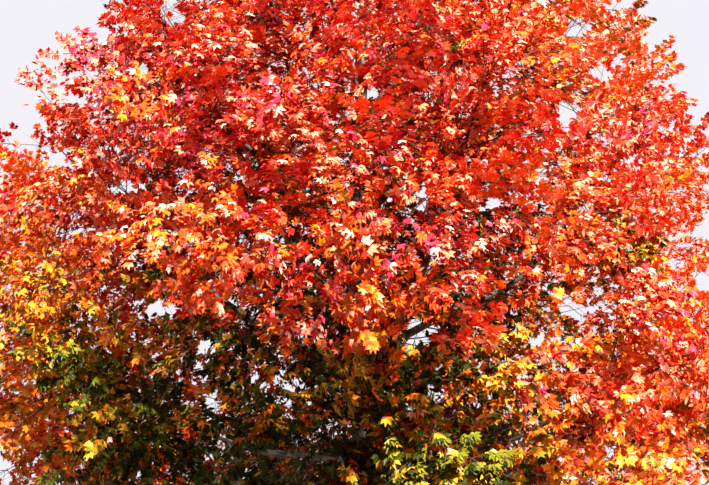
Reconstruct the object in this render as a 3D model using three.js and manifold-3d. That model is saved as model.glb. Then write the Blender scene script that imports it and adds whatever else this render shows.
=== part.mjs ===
// A sugar maple in autumn, about 16 m tall: one trunk with its leader, 24 boughs and 25 masses of foliage.
// Millimetres, +Z up. The origin is the centre of the flat cut at ground level, and the front faces -Y.
// Every limb, twig and leaf is worked out by one seeded rule from the sizes at the top of the file.

import * as THREE from "three";
import { mergeVertices } from "three/addons/utils/BufferGeometryUtils.js";
import Module from "manifold-3d";

const wasm = await Module();
wasm.setup();

// The whole tree
const TREE_HEIGHT = 16660;
const CROWN_RADIUS = 7070;
const CROWN_WIDEST_AT = 5800;
const CROWN_FOOT = 2310;
const CROWN_HEART = 6020;
const CROWN_SHOULDER = 0.66;
const FOOT_DRAWN_IN = 0.06;
const FRONT_DRAWN_IN = 0.46;
const FRONT_TURN = -105;

// The trunk, which runs up through the crown as a thinning leader
const LEADER_HEIGHT = 13300;
const TRUNK_RADIUS = 287;
const LEADER_TIP_RADIUS = 42;
const ROOT_FLARE = 168;
const ROOT_FLARE_HEIGHT = 378;
const TRUNK_SWAY = 77;
const TRUNK_LEAN = 126;
const TRUNK_SIDES = 11;
const TRUNK_RINGS = 12;

// The boughs and the masses that they carry, tier by tier: the height of the masses' middles, how far their
// foliage spreads, the stretch of trunk that the boughs spring from, their slope and radius there, and how far
// round the first one stands
const TIERS = [
  { name: "low", count: 7, height: 4480, spread: 3290, foot: 2730, head: 3850, rise: 14, radius: 87, turn: 12 },
  { name: "mid", count: 7, height: 8050, spread: 3290, foot: 4200, head: 6090, rise: 40, radius: 84, turn: 38 },
  { name: "high", count: 6, height: 11270, spread: 3220, foot: 6720, head: 8540, rise: 52, radius: 70, turn: 4 },
  { name: "top", count: 4, height: 13650, spread: 2940, foot: 9660, head: 11060, rise: 50, radius: 50, turn: 62 },
];
const CREST = { name: "crest", height: 14630, spread: 2660 };
const MASS_HEIGHT_SCATTER = 322;
const MASS_INSET_SHARE = 0.7;
const MASS_INSET_SCATTER = 126;
const BOUGH_REACH_SHARE = 0.52;
const BOUGH_LIFT = 0.12;
const BOUGH_TIP_RADIUS = 38;
const BOUGH_SIDES = 5;
const BOUGH_RINGS = 5;
const BOUGH_SWAY = 98;

// Twigs, and the leaves that each stand for a whole spray
const STEM_REACH_SHARE = 0.275;
const STEM_ROOT_RADIUS = 36;
const STEM_TIP_RADIUS = 28;
const STEM_SIDES = 4;
const STEM_RINGS = 2;
const TWIG_PAIRS = 3;
const FIRST_PAIR_AT = 0.2;
const LAST_PAIR_AT = 0.9;
const TWIG_LEAN = [56, 44];
const TWIG_SHARE = 0.38;
const TWIG_SIZES = [1, 0.75, 0.55];
const TWIG_RADIUS = 21;
const TWIG_TIP_RADIUS = 17;
const TWIG_SIDES = 3;
const SPRAY_SEATS = [
  { share: 0.985, angle: 0 },
  { share: 0.52, angle: 66 },
  { share: 0.52, angle: -66 },
];
const SPRAY_SIZES = [1, 0.85, 0.7];
const SPRAY_SWINGS = [0, 24, -24, 48];
const SPRAY_LENGTH = 1650;
const SPRAY_WIDTH_SHARE = 0.86;
const SPRAY_THICKNESS_SHARE = 0.014;
const SPRAY_DROOP = 0.5;

// Clearances between solids
const FACE_GAP = 0.3;
const SPACE_MARGIN = 17;
const LIMB_MARGIN = 63;
const LIMB_SAMPLE = 84;
const ROOT_ROOM = 84;

const UP = new THREE.Vector3(0, 0, 1);
const DEGREE = Math.PI / 180;

const BARK = new THREE.MeshStandardMaterial({ color: 0x6b5d50, roughness: 0.9, metalness: 0 });
const TINTS = {
  crimson: new THREE.MeshStandardMaterial({ color: 0xb01f2a, roughness: 0.6, metalness: 0 }),
  scarlet: new THREE.MeshStandardMaterial({ color: 0xd8361f, roughness: 0.6, metalness: 0 }),
  orange: new THREE.MeshStandardMaterial({ color: 0xe2672a, roughness: 0.6, metalness: 0 }),
  gold: new THREE.MeshStandardMaterial({ color: 0xd9a02f, roughness: 0.6, metalness: 0 }),
};

// A number from 0 to 1 that depends only on the whole numbers given, so that the tree is always the same.
function roll(...keys) {
  let h = 2166136261;
  for (const key of keys) {
    h = Math.imul(h ^ key, 16777619);
    h ^= h >>> 13;
    h = Math.imul(h, 1540483477);
    h ^= h >>> 15;
  }
  return (h >>> 0) / 4294967296;
}

// The same, spread evenly between -reach and reach.
function jitter(reach, ...keys) {
  return reach * (2 * roll(...keys) - 1);
}

function polar(azimuth, radius, height) {
  return new THREE.Vector3(radius * Math.cos(azimuth * DEGREE), radius * Math.sin(azimuth * DEGREE), height);
}

// The level direction across a limb, or +X across one that stands upright.
function sideOf(along) {
  const level = new THREE.Vector3().crossVectors(UP, along);
  if (level.length() > 0.01) return level.normalize();
  return new THREE.Vector3(1, 0, 0).addScaledVector(along, -along.x).normalize();
}

// A closed three.js geometry as a solid that can be joined and cut.
function solidOf(geometry) {
  const bare = geometry.index ? geometry.toNonIndexed() : geometry.clone();
  bare.deleteAttribute("normal");
  bare.deleteAttribute("uv");
  const merged = mergeVertices(bare, 1e-3);
  return new wasm.Manifold(
    new wasm.Mesh({
      numProp: 3,
      vertProperties: new Float32Array(merged.attributes.position.array),
      triVerts: new Uint32Array(merged.index.array),
    }),
  );
}

function geometryOf(solid) {
  const mesh = solid.getMesh();
  return new THREE.BufferGeometry()
    .setAttribute("position", new THREE.BufferAttribute(new Float32Array(mesh.vertProperties), 3))
    .setIndex(new THREE.BufferAttribute(new Uint32Array(mesh.triVerts), 1));
}

// A cylinder bent along a path. place(t, angle) gives the point of its skin at share t of the way along.
function bentCylinder(sides, rings, place) {
  const geometry = new THREE.CylinderGeometry(1, 1, 1, sides, rings);
  const position = geometry.attributes.position;
  for (let i = 0; i < position.count; i++) {
    const x = position.getX(i);
    const z = position.getZ(i);
    const onAxis = Math.hypot(x, z) < 1e-6;
    const point = place(position.getY(i) + 0.5, Math.atan2(-z, x), onAxis);
    position.setXYZ(i, point.x, point.y, point.z);
  }
  return geometry;
}

// Trunk

function trunkRadius(height) {
  const taper = Math.pow(Math.max(0, 1 - height / LEADER_HEIGHT), 0.85);
  return LEADER_TIP_RADIUS + (TRUNK_RADIUS - LEADER_TIP_RADIUS) * taper;
}

// How far the root flare stands out at a height and an angle, with one swelling over each main root.
function rootFlare(height, angle) {
  const swelling = 1 + 0.38 * Math.cos(5 * angle + 0.6) + 0.22 * Math.cos(3 * angle - 1.1);
  return ROOT_FLARE * Math.exp(-height / ROOT_FLARE_HEIGHT) * swelling;
}

function trunkCentre(height) {
  const rise = height / LEADER_HEIGHT;
  const sway = TRUNK_SWAY * Math.sin(Math.PI * rise);
  return new THREE.Vector3(
    sway * Math.sin(2.1 * Math.PI * rise) + TRUNK_LEAN * rise * rise,
    sway * Math.cos(3.1 * Math.PI * rise + 0.5) - sway * 0.4,
    height,
  );
}

function trunkGeometry(extra) {
  return bentCylinder(TRUNK_SIDES, TRUNK_RINGS, (t, angle, onAxis) => {
    const height = LEADER_HEIGHT * Math.pow(t, 1.6);
    const radius = onAxis ? 0 : trunkRadius(height) + rootFlare(height, angle) + extra;
    return trunkCentre(height).add(polar(angle / DEGREE, radius, 0));
  });
}

// The crown's outline

// A dome above the widest height. Below it the crown draws in a little all round, and more towards the front,
// where the shade of the boughs above has kept the lowest ones short.
function crownRadius(height, azimuth) {
  if (height > CROWN_WIDEST_AT) {
    const rise = Math.min(1, (height - CROWN_WIDEST_AT) / (TREE_HEIGHT - CROWN_WIDEST_AT));
    return CROWN_RADIUS * Math.pow(1 - rise * rise, CROWN_SHOULDER);
  }
  const fall = (CROWN_WIDEST_AT - height) / (CROWN_WIDEST_AT - CROWN_FOOT);
  const facing = Math.max(0, Math.cos((azimuth - FRONT_TURN) * DEGREE));
  const front = FRONT_DRAWN_IN * Math.sin((Math.PI / 2) * fall) * Math.pow(facing, 4);
  return CROWN_RADIUS * (1 - FOOT_DRAWN_IN * fall * fall - front);
}

function insideCrown(point) {
  if (point.z < CROWN_FOOT || point.z > TREE_HEIGHT) return false;
  const azimuth = Math.atan2(point.y, point.x) / DEGREE;
  return Math.hypot(point.x, point.y) < crownRadius(point.z, azimuth);
}

// Boughs

// A limb's centre line: a cubic curve from one place to another with its two directions, and a slight sway.
class LimbCurve extends THREE.Curve {
  constructor(from, to, setOut, arrive, sway, phase) {
    super();
    const pull = from.distanceTo(to) * 0.36;
    this.bend = new THREE.CubicBezierCurve3(
      from,
      from.clone().addScaledVector(setOut, pull),
      to.clone().addScaledVector(arrive, -pull),
      to,
    );
    this.across = sideOf(to.clone().sub(from).normalize());
    this.sway = sway;
    this.phase = phase;
  }
  getPoint(t, target = new THREE.Vector3()) {
    const swing = this.sway * Math.pow(Math.sin(Math.PI * t), 2) * Math.sin(3 * Math.PI * t + this.phase);
    return this.bend.getPoint(t, target).addScaledVector(this.across, swing);
  }
}

function boughRadius(bough, t) {
  return BOUGH_TIP_RADIUS + (bough.radius - BOUGH_TIP_RADIUS) * Math.pow(1 - t, 0.8);
}

// The skin of a limb with a curve and a radius at each share of its length.
function limbGeometry(curve, radiusAt, sides, rings) {
  return bentCylinder(sides, rings, (t, angle, onAxis) => {
    const along = curve.getTangent(t);
    const side = sideOf(along);
    const over = new THREE.Vector3().crossVectors(along, side);
    const radius = onAxis ? 0 : radiusAt(t);
    return curve
      .getPoint(t)
      .addScaledVector(side, radius * Math.cos(angle))
      .addScaledVector(over, radius * Math.sin(angle));
  });
}

// One bough of a tier, from the trunk to the near side of its mass. The mass is told by its middle, how far
// it spreads, the tip that carries it and the way that the tip points.
function planBough(tier, row, k) {
  const key = 100 * (row + 1) + k;
  const azimuth = tier.turn + (360 * k) / tier.count + jitter(6, key, 1);
  const height = tier.height + jitter(MASS_HEIGHT_SCATTER, key, 2);
  const inset = MASS_INSET_SHARE * tier.spread + jitter(MASS_INSET_SCATTER, key, 3);
  const centre = polar(azimuth, crownRadius(height, azimuth) - inset, height);
  const step = ((3 * k) % tier.count) / (tier.count - 1);
  const from = trunkCentre(tier.foot + (tier.head - tier.foot) * step);
  const setOut = polar(azimuth, Math.cos(tier.rise * DEGREE), Math.sin(tier.rise * DEGREE));
  const heading = centre.clone().sub(from).normalize().addScaledVector(UP, BOUGH_LIFT).normalize();
  const tip = centre.clone().addScaledVector(heading, -BOUGH_REACH_SHARE * tier.spread);
  const curve = new LimbCurve(from, tip, setOut, heading, BOUGH_SWAY, 6 * roll(key, 4));
  const name = `${tier.name}_${k + 1}`;
  return { name, curve, radius: tier.radius, mass: { name, key, centre, spread: tier.spread, tip, heading } };
}

function planBoughs() {
  return TIERS.flatMap((tier, row) => Array.from({ length: tier.count }, (_, k) => planBough(tier, row, k)));
}

// The mass on the leader's tip, at the top of the crown.
function planCrest() {
  const tip = trunkCentre(LEADER_HEIGHT);
  const centre = new THREE.Vector3(tip.x, tip.y, CREST.height);
  return { name: CREST.name, key: 900, centre, spread: CREST.spread, tip, heading: UP.clone() };
}

// Masses

// The space of one mass: nearer to its own middle than to any other, within its spread and inside the crown.
function spaceOf(mass, masses) {
  const others = masses.filter((other) => other !== mass);
  return (point) =>
    insideCrown(point) &&
    point.distanceTo(mass.centre) < mass.spread &&
    others.every((other) => {
      const apart = mass.centre.distanceTo(other.centre);
      const toMine = point.distanceToSquared(mass.centre);
      const toOther = point.distanceToSquared(other.centre);
      return (toOther - toMine) / (2 * apart) > SPACE_MARGIN;
    });
}

// Points down the middle of every limb, with its radius there, for telling whether something would touch it.
function limbPoints(boughs) {
  const points = [];
  for (let height = 0; height < LEADER_HEIGHT; height += LIMB_SAMPLE) {
    points.push({ at: trunkCentre(height), radius: trunkRadius(height) + rootFlare(height, 0) });
  }
  for (const bough of boughs) {
    const count = Math.ceil(bough.curve.getLength() / LIMB_SAMPLE);
    for (let i = 0; i <= count; i++) {
      points.push({ at: bough.curve.getPoint(i / count), radius: boughRadius(bough, i / count) });
    }
  }
  return points;
}

function twigTouches(from, to, radius, limbs) {
  const line = new THREE.Line3(from, to);
  const nearest = new THREE.Vector3();
  return limbs.some((limb) => {
    line.closestPointToPoint(limb.at, true, nearest);
    return nearest.distanceTo(limb.at) < limb.radius + radius + LIMB_MARGIN;
  });
}

// A spray is a kite: its half width grows to the middle of its length and shrinks again to the tip.
function halfWidth(spray, along) {
  const share = along / spray.length;
  return spray.length * SPRAY_WIDTH_SHARE * Math.max(0, Math.min(share, 1 - share));
}

function sprayTouches(spray, limbs) {
  return limbs.some((limb) => {
    const reach = limb.radius + LIMB_MARGIN;
    const offset = limb.at.clone().sub(spray.root);
    const along = offset.dot(spray.along);
    return (
      Math.abs(offset.dot(spray.facing)) < reach &&
      along > -reach &&
      along < spray.length + reach &&
      Math.abs(offset.dot(spray.across)) < halfWidth(spray, along) + reach
    );
  });
}

function sprayCorners(spray) {
  const middle = spray.root.clone().addScaledVector(spray.along, spray.length / 2);
  const half = (spray.length * SPRAY_WIDTH_SHARE) / 2;
  return [
    spray.root.clone().addScaledVector(spray.along, ROOT_ROOM),
    middle.clone().addScaledVector(spray.across, half),
    spray.root.clone().addScaledVector(spray.along, spray.length),
    middle.clone().addScaledVector(spray.across, -half),
  ];
}

// Whether the line from one point to another runs through a spray.
function pierces(from, to, spray) {
  const way = to.clone().sub(from);
  const length = way.length();
  const ray = new THREE.Ray(from, way.normalize());
  const [root, left, tip, right] = spray.corners;
  return [left, right].some((side) => {
    const hit = ray.intersectTriangle(root, side, tip, false, new THREE.Vector3());
    return hit && hit.distanceTo(from) < length;
  });
}

function edgesPierce(spray, other) {
  return spray.corners.some((corner, i) => pierces(corner, spray.corners[(i + 1) % 4], other));
}

// The way that a spray faces before it is set square to its own length: out from the crown's heart and up.
function facingAt(root, key) {
  const out = root.clone().sub(new THREE.Vector3(0, 0, CROWN_HEART)).normalize();
  out.z = Math.max(out.z, -0.15);
  return out
    .add(new THREE.Vector3(jitter(0.3, key, 21), jitter(0.3, key, 22), 0.35 + jitter(0.2, key, 23)))
    .normalize();
}

function sprayFrom(twig, root, wanted, length, key) {
  const along = wanted.clone().addScaledVector(UP, -SPRAY_DROOP).normalize();
  const facing = facingAt(root, key);
  facing.addScaledVector(along, -facing.dot(along)).normalize();
  const across = new THREE.Vector3().crossVectors(along, facing);
  const spray = { twig, root, along, across, facing, length };
  spray.corners = sprayCorners(spray);
  return spray;
}

// Turns a direction about an axis, in degrees.
function turned(direction, axis, angle) {
  return direction.clone().applyAxisAngle(axis, angle * DEGREE);
}

// The stem of a mass, which goes on from its bough's tip, or the leader's, to beyond the middle of the mass.
function planStem(mass) {
  const root = mass.tip.clone().addScaledVector(mass.heading, FACE_GAP);
  const tip = mass.centre.clone().addScaledVector(mass.heading, STEM_REACH_SHARE * mass.spread);
  return new LimbCurve(root, tip, mass.heading, mass.heading, 0, 0);
}

function stemRadius(t) {
  return STEM_ROOT_RADIUS + (STEM_TIP_RADIUS - STEM_ROOT_RADIUS) * t;
}

// Where a mass's twigs leave its stem, and which way: pairs that stand off it, each pair crosswise to the last
// as on a maple shoot, and one that carries the stem on.
function twigStarts(mass, stem) {
  const starts = [];
  for (let pair = 0; pair < TWIG_PAIRS; pair++) {
    const t = FIRST_PAIR_AT + ((LAST_PAIR_AT - FIRST_PAIR_AT) * pair) / (TWIG_PAIRS - 1);
    const along = stem.getTangent(t);
    const side = sideOf(along);
    const lean = (TWIG_LEAN[0] + (TWIG_LEAN[1] - TWIG_LEAN[0]) * t) * DEGREE;
    for (const half of [0, 1]) {
      const key = mass.key * 100 + pair * 10 + half + 1;
      const around = turned(side, along, 180 * half + 90 * (pair % 2) + 45 + jitter(16, key, 27));
      const way = along.clone().multiplyScalar(Math.cos(lean)).addScaledVector(around, Math.sin(lean));
      starts.push({ at: stem.getPoint(t), way, key });
    }
  }
  const end = stem.getPoint(1).addScaledVector(mass.heading, -STEM_TIP_RADIUS);
  starts.push({ at: end, way: mass.heading.clone(), key: mass.key * 100 + 90 });
  return starts;
}

// A twig that stays in the mass's space and clear of the limbs, shortened if it must be, or nothing.
function settleTwig(start, mass, space, limbs) {
  for (const size of TWIG_SIZES) {
    const length = TWIG_SHARE * mass.spread * size * (1 + jitter(0.15, start.key, 26));
    const to = start.at.clone().addScaledVector(start.way, length);
    const beyondStem = start.at.clone().lerp(to, 0.12);
    if (space(to) && !twigTouches(beyondStem, to, TWIG_RADIUS, limbs)) {
      return { from: start.at, to, way: start.way };
    }
  }
  return null;
}

// A spray on a twig that fits, turned aside and shortened if it must be, or nothing.
function settleSpray(twig, seat, key, fits) {
  const root = twig.from.clone().lerp(twig.to, seat.share);
  for (const size of SPRAY_SIZES) {
    for (const swing of SPRAY_SWINGS) {
      const wanted = turned(twig.way, facingAt(root, key), seat.angle + swing + jitter(8, key, 24));
      const spray = sprayFrom(twig, root, wanted, SPRAY_LENGTH * size * (1 + jitter(0.1, key, 25)), key);
      if (fits(spray)) return spray;
    }
  }
  return null;
}

// The stem, twigs and sprays of one mass. A twig or spray that would leave its space, or touch a limb or
// another spray, is left out.
function growMass(mass, space, limbs) {
  const stem = planStem(mass);
  const twigs = [];
  const sprays = [];
  const fits = (spray) =>
    spray.corners.every(space) &&
    !sprayTouches(spray, limbs) &&
    twigs.every((twig) => twig === spray.twig || !pierces(twig.from, twig.to, spray)) &&
    sprays.every((other) => !edgesPierce(spray, other) && !edgesPierce(other, spray));

  for (const start of twigStarts(mass, stem)) {
    const twig = settleTwig(start, mass, space, limbs);
    if (!twig) continue;
    twigs.push(twig);
    SPRAY_SEATS.forEach((seat, i) => {
      const spray = settleSpray(twig, seat, 10 * start.key + i, fits);
      if (spray) sprays.push(spray);
    });
  }
  return { stem, twigs, sprays };
}

// A straight twig, three-sided and tapering, from inside its parent to its tip.
function twigGeometry(twig) {
  const length = twig.from.distanceTo(twig.to);
  const geometry = new THREE.CylinderGeometry(TWIG_TIP_RADIUS, TWIG_RADIUS, length, TWIG_SIDES);
  geometry.translate(0, length / 2, 0);
  const turn = new THREE.Quaternion().setFromUnitVectors(new THREE.Vector3(0, 1, 0), twig.way);
  return geometry.applyQuaternion(turn).translate(twig.from.x, twig.from.y, twig.from.z);
}

// A spray as a leaf of eight faces: a flat octahedron whose root lies inside the twig.
function sprayGeometry(spray) {
  const geometry = new THREE.OctahedronGeometry(1);
  const position = geometry.attributes.position;
  for (let i = 0; i < position.count; i++) {
    const along = ((position.getY(i) + 1) / 2) * spray.length;
    const across = (position.getX(i) * spray.length * SPRAY_WIDTH_SHARE) / 2;
    const lift = (position.getZ(i) * spray.length * SPRAY_THICKNESS_SHARE) / 2;
    const point = spray.root
      .clone()
      .addScaledVector(spray.along, along)
      .addScaledVector(spray.across, across)
      .addScaledVector(spray.facing, lift);
    position.setXYZ(i, point.x, point.y, point.z);
  }
  return geometry;
}

function massSolid(grown) {
  const parts = [solidOf(limbGeometry(grown.stem, stemRadius, STEM_SIDES, STEM_RINGS))];
  grown.twigs.forEach((twig) => parts.push(solidOf(twigGeometry(twig))));
  grown.sprays.forEach((spray) => parts.push(solidOf(sprayGeometry(spray))));
  return wasm.Manifold.union(parts);
}

// The tint that most of a mass has turned: reddest in the high crown, with gold left low down.
function tintOf(mass) {
  const ripeness = (mass.centre.z - CROWN_FOOT) / (TREE_HEIGHT - CROWN_FOOT) + jitter(0.22, mass.key, 5);
  if (ripeness > 0.72) return TINTS.crimson;
  if (ripeness > 0.42) return TINTS.scarlet;
  return ripeness > 0.14 ? TINTS.orange : TINTS.gold;
}

function named(name, geometry, material) {
  const mesh = new THREE.Mesh(geometry, material);
  mesh.name = name;
  return mesh;
}

const tree = new THREE.Group();
tree.name = "sugar_maple";

const boughs = planBoughs();
const masses = [...boughs.map((bough) => bough.mass), planCrest()];
const limbs = limbPoints(boughs);

tree.add(named("trunk", trunkGeometry(0), BARK));
const cutter = solidOf(trunkGeometry(FACE_GAP));
for (const bough of boughs) {
  const skin = limbGeometry(bough.curve, (t) => boughRadius(bough, t), BOUGH_SIDES, BOUGH_RINGS);
  tree.add(named(`bough_${bough.name}`, geometryOf(solidOf(skin).subtract(cutter)), BARK));
}
for (const mass of masses) {
  const grown = growMass(mass, spaceOf(mass, masses), limbs);
  tree.add(named(`foliage_${mass.name}`, geometryOf(massSolid(grown)), tintOf(mass)));
}

export default tree;
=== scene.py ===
# %% [markdown]
# # A sugar maple in autumn
#
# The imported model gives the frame: one trunk, 24 boughs, and 25 masses of foliage, whose large flat
# leaves each stand for a whole spray. This script grows the fine tree on that frame. It repeats the
# rule that placed the model's limbs, twigs and sprays, and carries it on to side shoots and single
# leaves, so the fine tree has the same limbs and the same reach. Everything is in metres, and the side
# that the photograph shows faces -Y.

# %% Load the frame
import math

import bpy
import numpy as np
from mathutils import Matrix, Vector
from mathutils.kdtree import KDTree


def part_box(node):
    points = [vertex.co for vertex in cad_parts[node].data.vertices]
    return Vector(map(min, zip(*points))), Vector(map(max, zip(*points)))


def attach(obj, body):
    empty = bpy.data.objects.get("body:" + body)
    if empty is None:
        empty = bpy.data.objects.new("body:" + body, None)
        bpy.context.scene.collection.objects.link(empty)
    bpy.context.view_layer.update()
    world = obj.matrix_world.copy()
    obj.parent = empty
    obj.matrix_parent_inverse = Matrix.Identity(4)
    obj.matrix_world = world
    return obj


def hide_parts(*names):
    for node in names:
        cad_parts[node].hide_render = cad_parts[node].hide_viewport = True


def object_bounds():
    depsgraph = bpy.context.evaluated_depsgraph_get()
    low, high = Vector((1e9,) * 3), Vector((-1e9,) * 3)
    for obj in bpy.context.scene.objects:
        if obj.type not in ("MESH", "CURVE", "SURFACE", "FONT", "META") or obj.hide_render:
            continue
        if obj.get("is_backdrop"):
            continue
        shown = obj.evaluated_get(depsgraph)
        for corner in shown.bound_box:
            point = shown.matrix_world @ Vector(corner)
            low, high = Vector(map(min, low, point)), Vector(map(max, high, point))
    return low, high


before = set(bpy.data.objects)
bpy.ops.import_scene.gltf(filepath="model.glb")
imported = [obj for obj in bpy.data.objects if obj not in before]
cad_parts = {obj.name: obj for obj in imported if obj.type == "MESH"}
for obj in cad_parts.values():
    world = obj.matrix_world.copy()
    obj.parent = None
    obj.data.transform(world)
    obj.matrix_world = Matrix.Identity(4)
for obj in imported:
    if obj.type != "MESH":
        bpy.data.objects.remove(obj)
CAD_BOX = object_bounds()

print("nodes in the frame:", len(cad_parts))
print("box of the model:", [[round(float(v), 3) for v in corner] for corner in CAD_BOX])

# %% [markdown]
# ## The camera
#
# The camera comes first, because it decides how large everything looks. The photograph was taken from
# close by, looking up into the crown: the horizon lies just below its lower edge, and the crown runs
# out of the frame on all four sides. A longer lens from farther off would show the same width, but it
# would flatten the crown and show less of the undersides of the boughs. So the distance is set first,
# and the field of view follows from it.

# %% Camera
PHOTO_WIDTH = 709
PHOTO_HEIGHT = 485
CAMERA_AT = (-0.1, -16.5, 2.2)
CAMERA_PITCH = math.radians(18.7)
FIELD_OF_VIEW = math.radians(42)
FOCAL_PIXELS = PHOTO_WIDTH / 2 / math.tan(FIELD_OF_VIEW / 2)

camera = bpy.data.objects.new("camera", bpy.data.cameras.new("camera"))
camera.data.sensor_width = 36
camera.data.angle = FIELD_OF_VIEW
camera.location = CAMERA_AT
camera.rotation_euler = (math.pi / 2 + CAMERA_PITCH, 0, 0)
bpy.context.scene.collection.objects.link(camera)
bpy.context.scene.camera = camera
print("focal length in pixels:", round(FOCAL_PIXELS))

# %% [markdown]
# ## Chance that always falls the same way
#
# A tree needs chance, but a part has to come out the same each time. The model hashes whole numbers
# that name each twig into a number from 0 to 1, so a twig's chance doesn't depend on which twigs were
# made before it. The same hash here gives the same twigs. For the leaves, of which there are very many,
# a seeded numpy generator is quicker.

# %% The model's hash, and a seeded generator
WORD = 0xFFFFFFFF
HASH_START = 2166136261
HASH_STEPS = ((16777619, 13), (1540483477, 15))


def roll(*keys):
    """A number from 0 to 1 from whole numbers: each is mixed in by two multiplications and two shifts."""
    mixed = HASH_START
    for key in keys:
        mixed ^= key
        for factor, shift in HASH_STEPS:
            mixed = (mixed * factor) & WORD
            mixed ^= mixed >> shift
    return mixed / (WORD + 1)


def jitter(reach, *keys):
    """A number from minus to plus the reach, by the roll of the keys."""
    return reach * (2 * roll(*keys) - 1)


chance = np.random.default_rng(1402)


def scatter(count):
    """A random vector for each of a number of things, bell-shaped in every direction."""
    return chance.normal(size=(count, 3))


print("three rolls:", [round(roll(100, k), 3) for k in range(3)])

# %% [markdown]
# ## Directions
#
# Limbs, twigs and leaves all stand by directions: along themselves, level across, and out of a face.
# Blender's own vectors turn one thing at a time. These few functions take whole arrays, with a
# direction in each row, so that a hundred thousand leaves turn at once.

# %% Directions
UP = np.array([0.0, 0.0, 1.0])
EAST = np.array([1.0, 0.0, 0.0])
SHORTEST = 1e-9
NEARLY_UPRIGHT = 0.01


def unit(vectors):
    """Each vector over its length."""
    return vectors / np.maximum(np.linalg.norm(vectors, axis=-1, keepdims=True), SHORTEST)


def dot(a, b):
    return np.sum(a * b, axis=-1, keepdims=True)


def side_of(along):
    """The level direction across each direction, or +X made square to it where it stands upright."""
    level = np.cross(UP, along)
    upright = np.linalg.norm(level, axis=-1, keepdims=True) < NEARLY_UPRIGHT
    return unit(np.where(upright, EAST - along * along[..., :1], level))


def turned(vector, axis, degrees):
    """Rodrigues' formula: the part along the axis stays, and the rest turns in the plane across it."""
    angle = np.radians(degrees)
    kept = axis * dot(axis, vector) * (1 - np.cos(angle))
    return vector * np.cos(angle) + np.cross(axis, vector) * np.sin(angle) + kept


def polar(azimuth, radius, height):
    """A place from its bearing in degrees, counted from +X towards +Y, its reach and its height."""
    turn = math.radians(azimuth)
    return np.array([radius * math.cos(turn), radius * math.sin(turn), height])


print("east, turned a quarter about the upright:", turned(EAST, UP, 90).round(3))

# %% [markdown]
# ## The trunk
#
# A maple in the open keeps one stem up through its crown. It tapers, sways a little as it seeks the
# light, and flares at the foot over its main roots. A curve object with a bevel could give the taper,
# but not the flare's lobes, so the trunk is a middle line and a radius, both formulas of the height.
# They are the model's own formulas.

# %% Trunk
LEADER_HEIGHT = 13.3
TRUNK_RADIUS = 0.287
LEADER_TIP_RADIUS = 0.042
TRUNK_TAPER_POWER = 0.85
ROOT_FLARE = 0.168
ROOT_FLARE_HEIGHT = 0.378
ROOT_SWELLS = ((5, 0.38, 0.6), (3, 0.22, -1.1))
TRUNK_SWAY = 0.077
SWAY_TURNS = (2.1, 3.1)
SWAY_PHASE = 0.5
SWAY_BACK = 0.4
TRUNK_LEAN = 0.126


def trunk_radius(height):
    """From the foot's radius to the tip's, by a power of what is left of the height."""
    taper = np.maximum(0, 1 - height / LEADER_HEIGHT) ** TRUNK_TAPER_POWER
    return LEADER_TIP_RADIUS + (TRUNK_RADIUS - LEADER_TIP_RADIUS) * taper


def root_flare(height, angle):
    """A skirt that fades with height, and swells and sinks round the trunk by cosines of the angle."""
    swelling = 1
    for lobes, share, phase in ROOT_SWELLS:
        swelling = swelling + share * np.cos(lobes * angle + phase)
    return ROOT_FLARE * np.exp(-height / ROOT_FLARE_HEIGHT) * swelling


def trunk_centre(height):
    """A sway that is widest at half height, in two slow waves, and a lean that grows with the height."""
    rise = np.asarray(height) / LEADER_HEIGHT
    sway = TRUNK_SWAY * np.sin(np.pi * rise)
    x = sway * np.sin(SWAY_TURNS[0] * np.pi * rise) + TRUNK_LEAN * rise * rise
    y = sway * np.cos(SWAY_TURNS[1] * np.pi * rise + SWAY_PHASE) - sway * SWAY_BACK
    return np.stack([x, y, np.asarray(height) + 0 * rise], axis=-1)


print("trunk radius at 0, 1.3 and 10 m:", [round(float(trunk_radius(h)), 3) for h in (0, 1.3, 10)])

# %% [markdown]
# ## The crown's outline
#
# A tree that stands free fills a smooth dome, however uneven its leaves are close by. The outline is
# the test that every twig and leaf has to pass. It is a profile turned about the upright axis, and no
# mesh is made of it: a formula can be asked about a million places at once. Below its widest height the
# crown is drawn in, most toward the front, where the photograph looks in under it.

# %% Crown outline
TREE_HEIGHT = 16.66
CROWN_RADIUS = 7.07
CROWN_WIDEST_AT = 5.8
CROWN_FOOT = 2.31
CROWN_HEART = np.array([0.0, 0.0, 6.02])
CROWN_SHOULDER = 0.66
FOOT_DRAWN_IN = 0.06
FOOT_MARGIN = 0.3
FRONT_DRAWN_IN = 0.46
FRONT_TURN = -105


def dome_radius(height):
    """R (1 - rise^2)^0.66 above the widest height, and R below it."""
    rise = np.clip((height - CROWN_WIDEST_AT) / (TREE_HEIGHT - CROWN_WIDEST_AT), 0, 1)
    return CROWN_RADIUS * (1 - rise**2) ** CROWN_SHOULDER


def crown_radius(height, azimuth):
    """The dome's radius, less two shares below its widest height: for the fall, and toward the front."""
    fall = np.maximum(0, (CROWN_WIDEST_AT - height) / (CROWN_WIDEST_AT - CROWN_FOOT))
    facing = np.maximum(0, np.cos(np.radians(azimuth - FRONT_TURN)))
    front = FRONT_DRAWN_IN * np.sin(np.pi / 2 * fall) * facing**4
    return dome_radius(height) * (1 - FOOT_DRAWN_IN * fall**2 - front)


def outline_at(points):
    """The crown's radius at the height and on the side of each point."""
    return crown_radius(points[..., 2], np.degrees(np.arctan2(points[..., 1], points[..., 0])))


def inside_crown(points, margin=0.0):
    """Between the crown's foot and top and inside its outline, each by a margin."""
    height = points[..., 2]
    reach = np.hypot(points[..., 0], points[..., 1])
    level = (height > CROWN_FOOT + np.minimum(margin, FOOT_MARGIN)) & (height < TREE_HEIGHT - margin)
    return level & (reach < outline_at(points) - margin)


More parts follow.
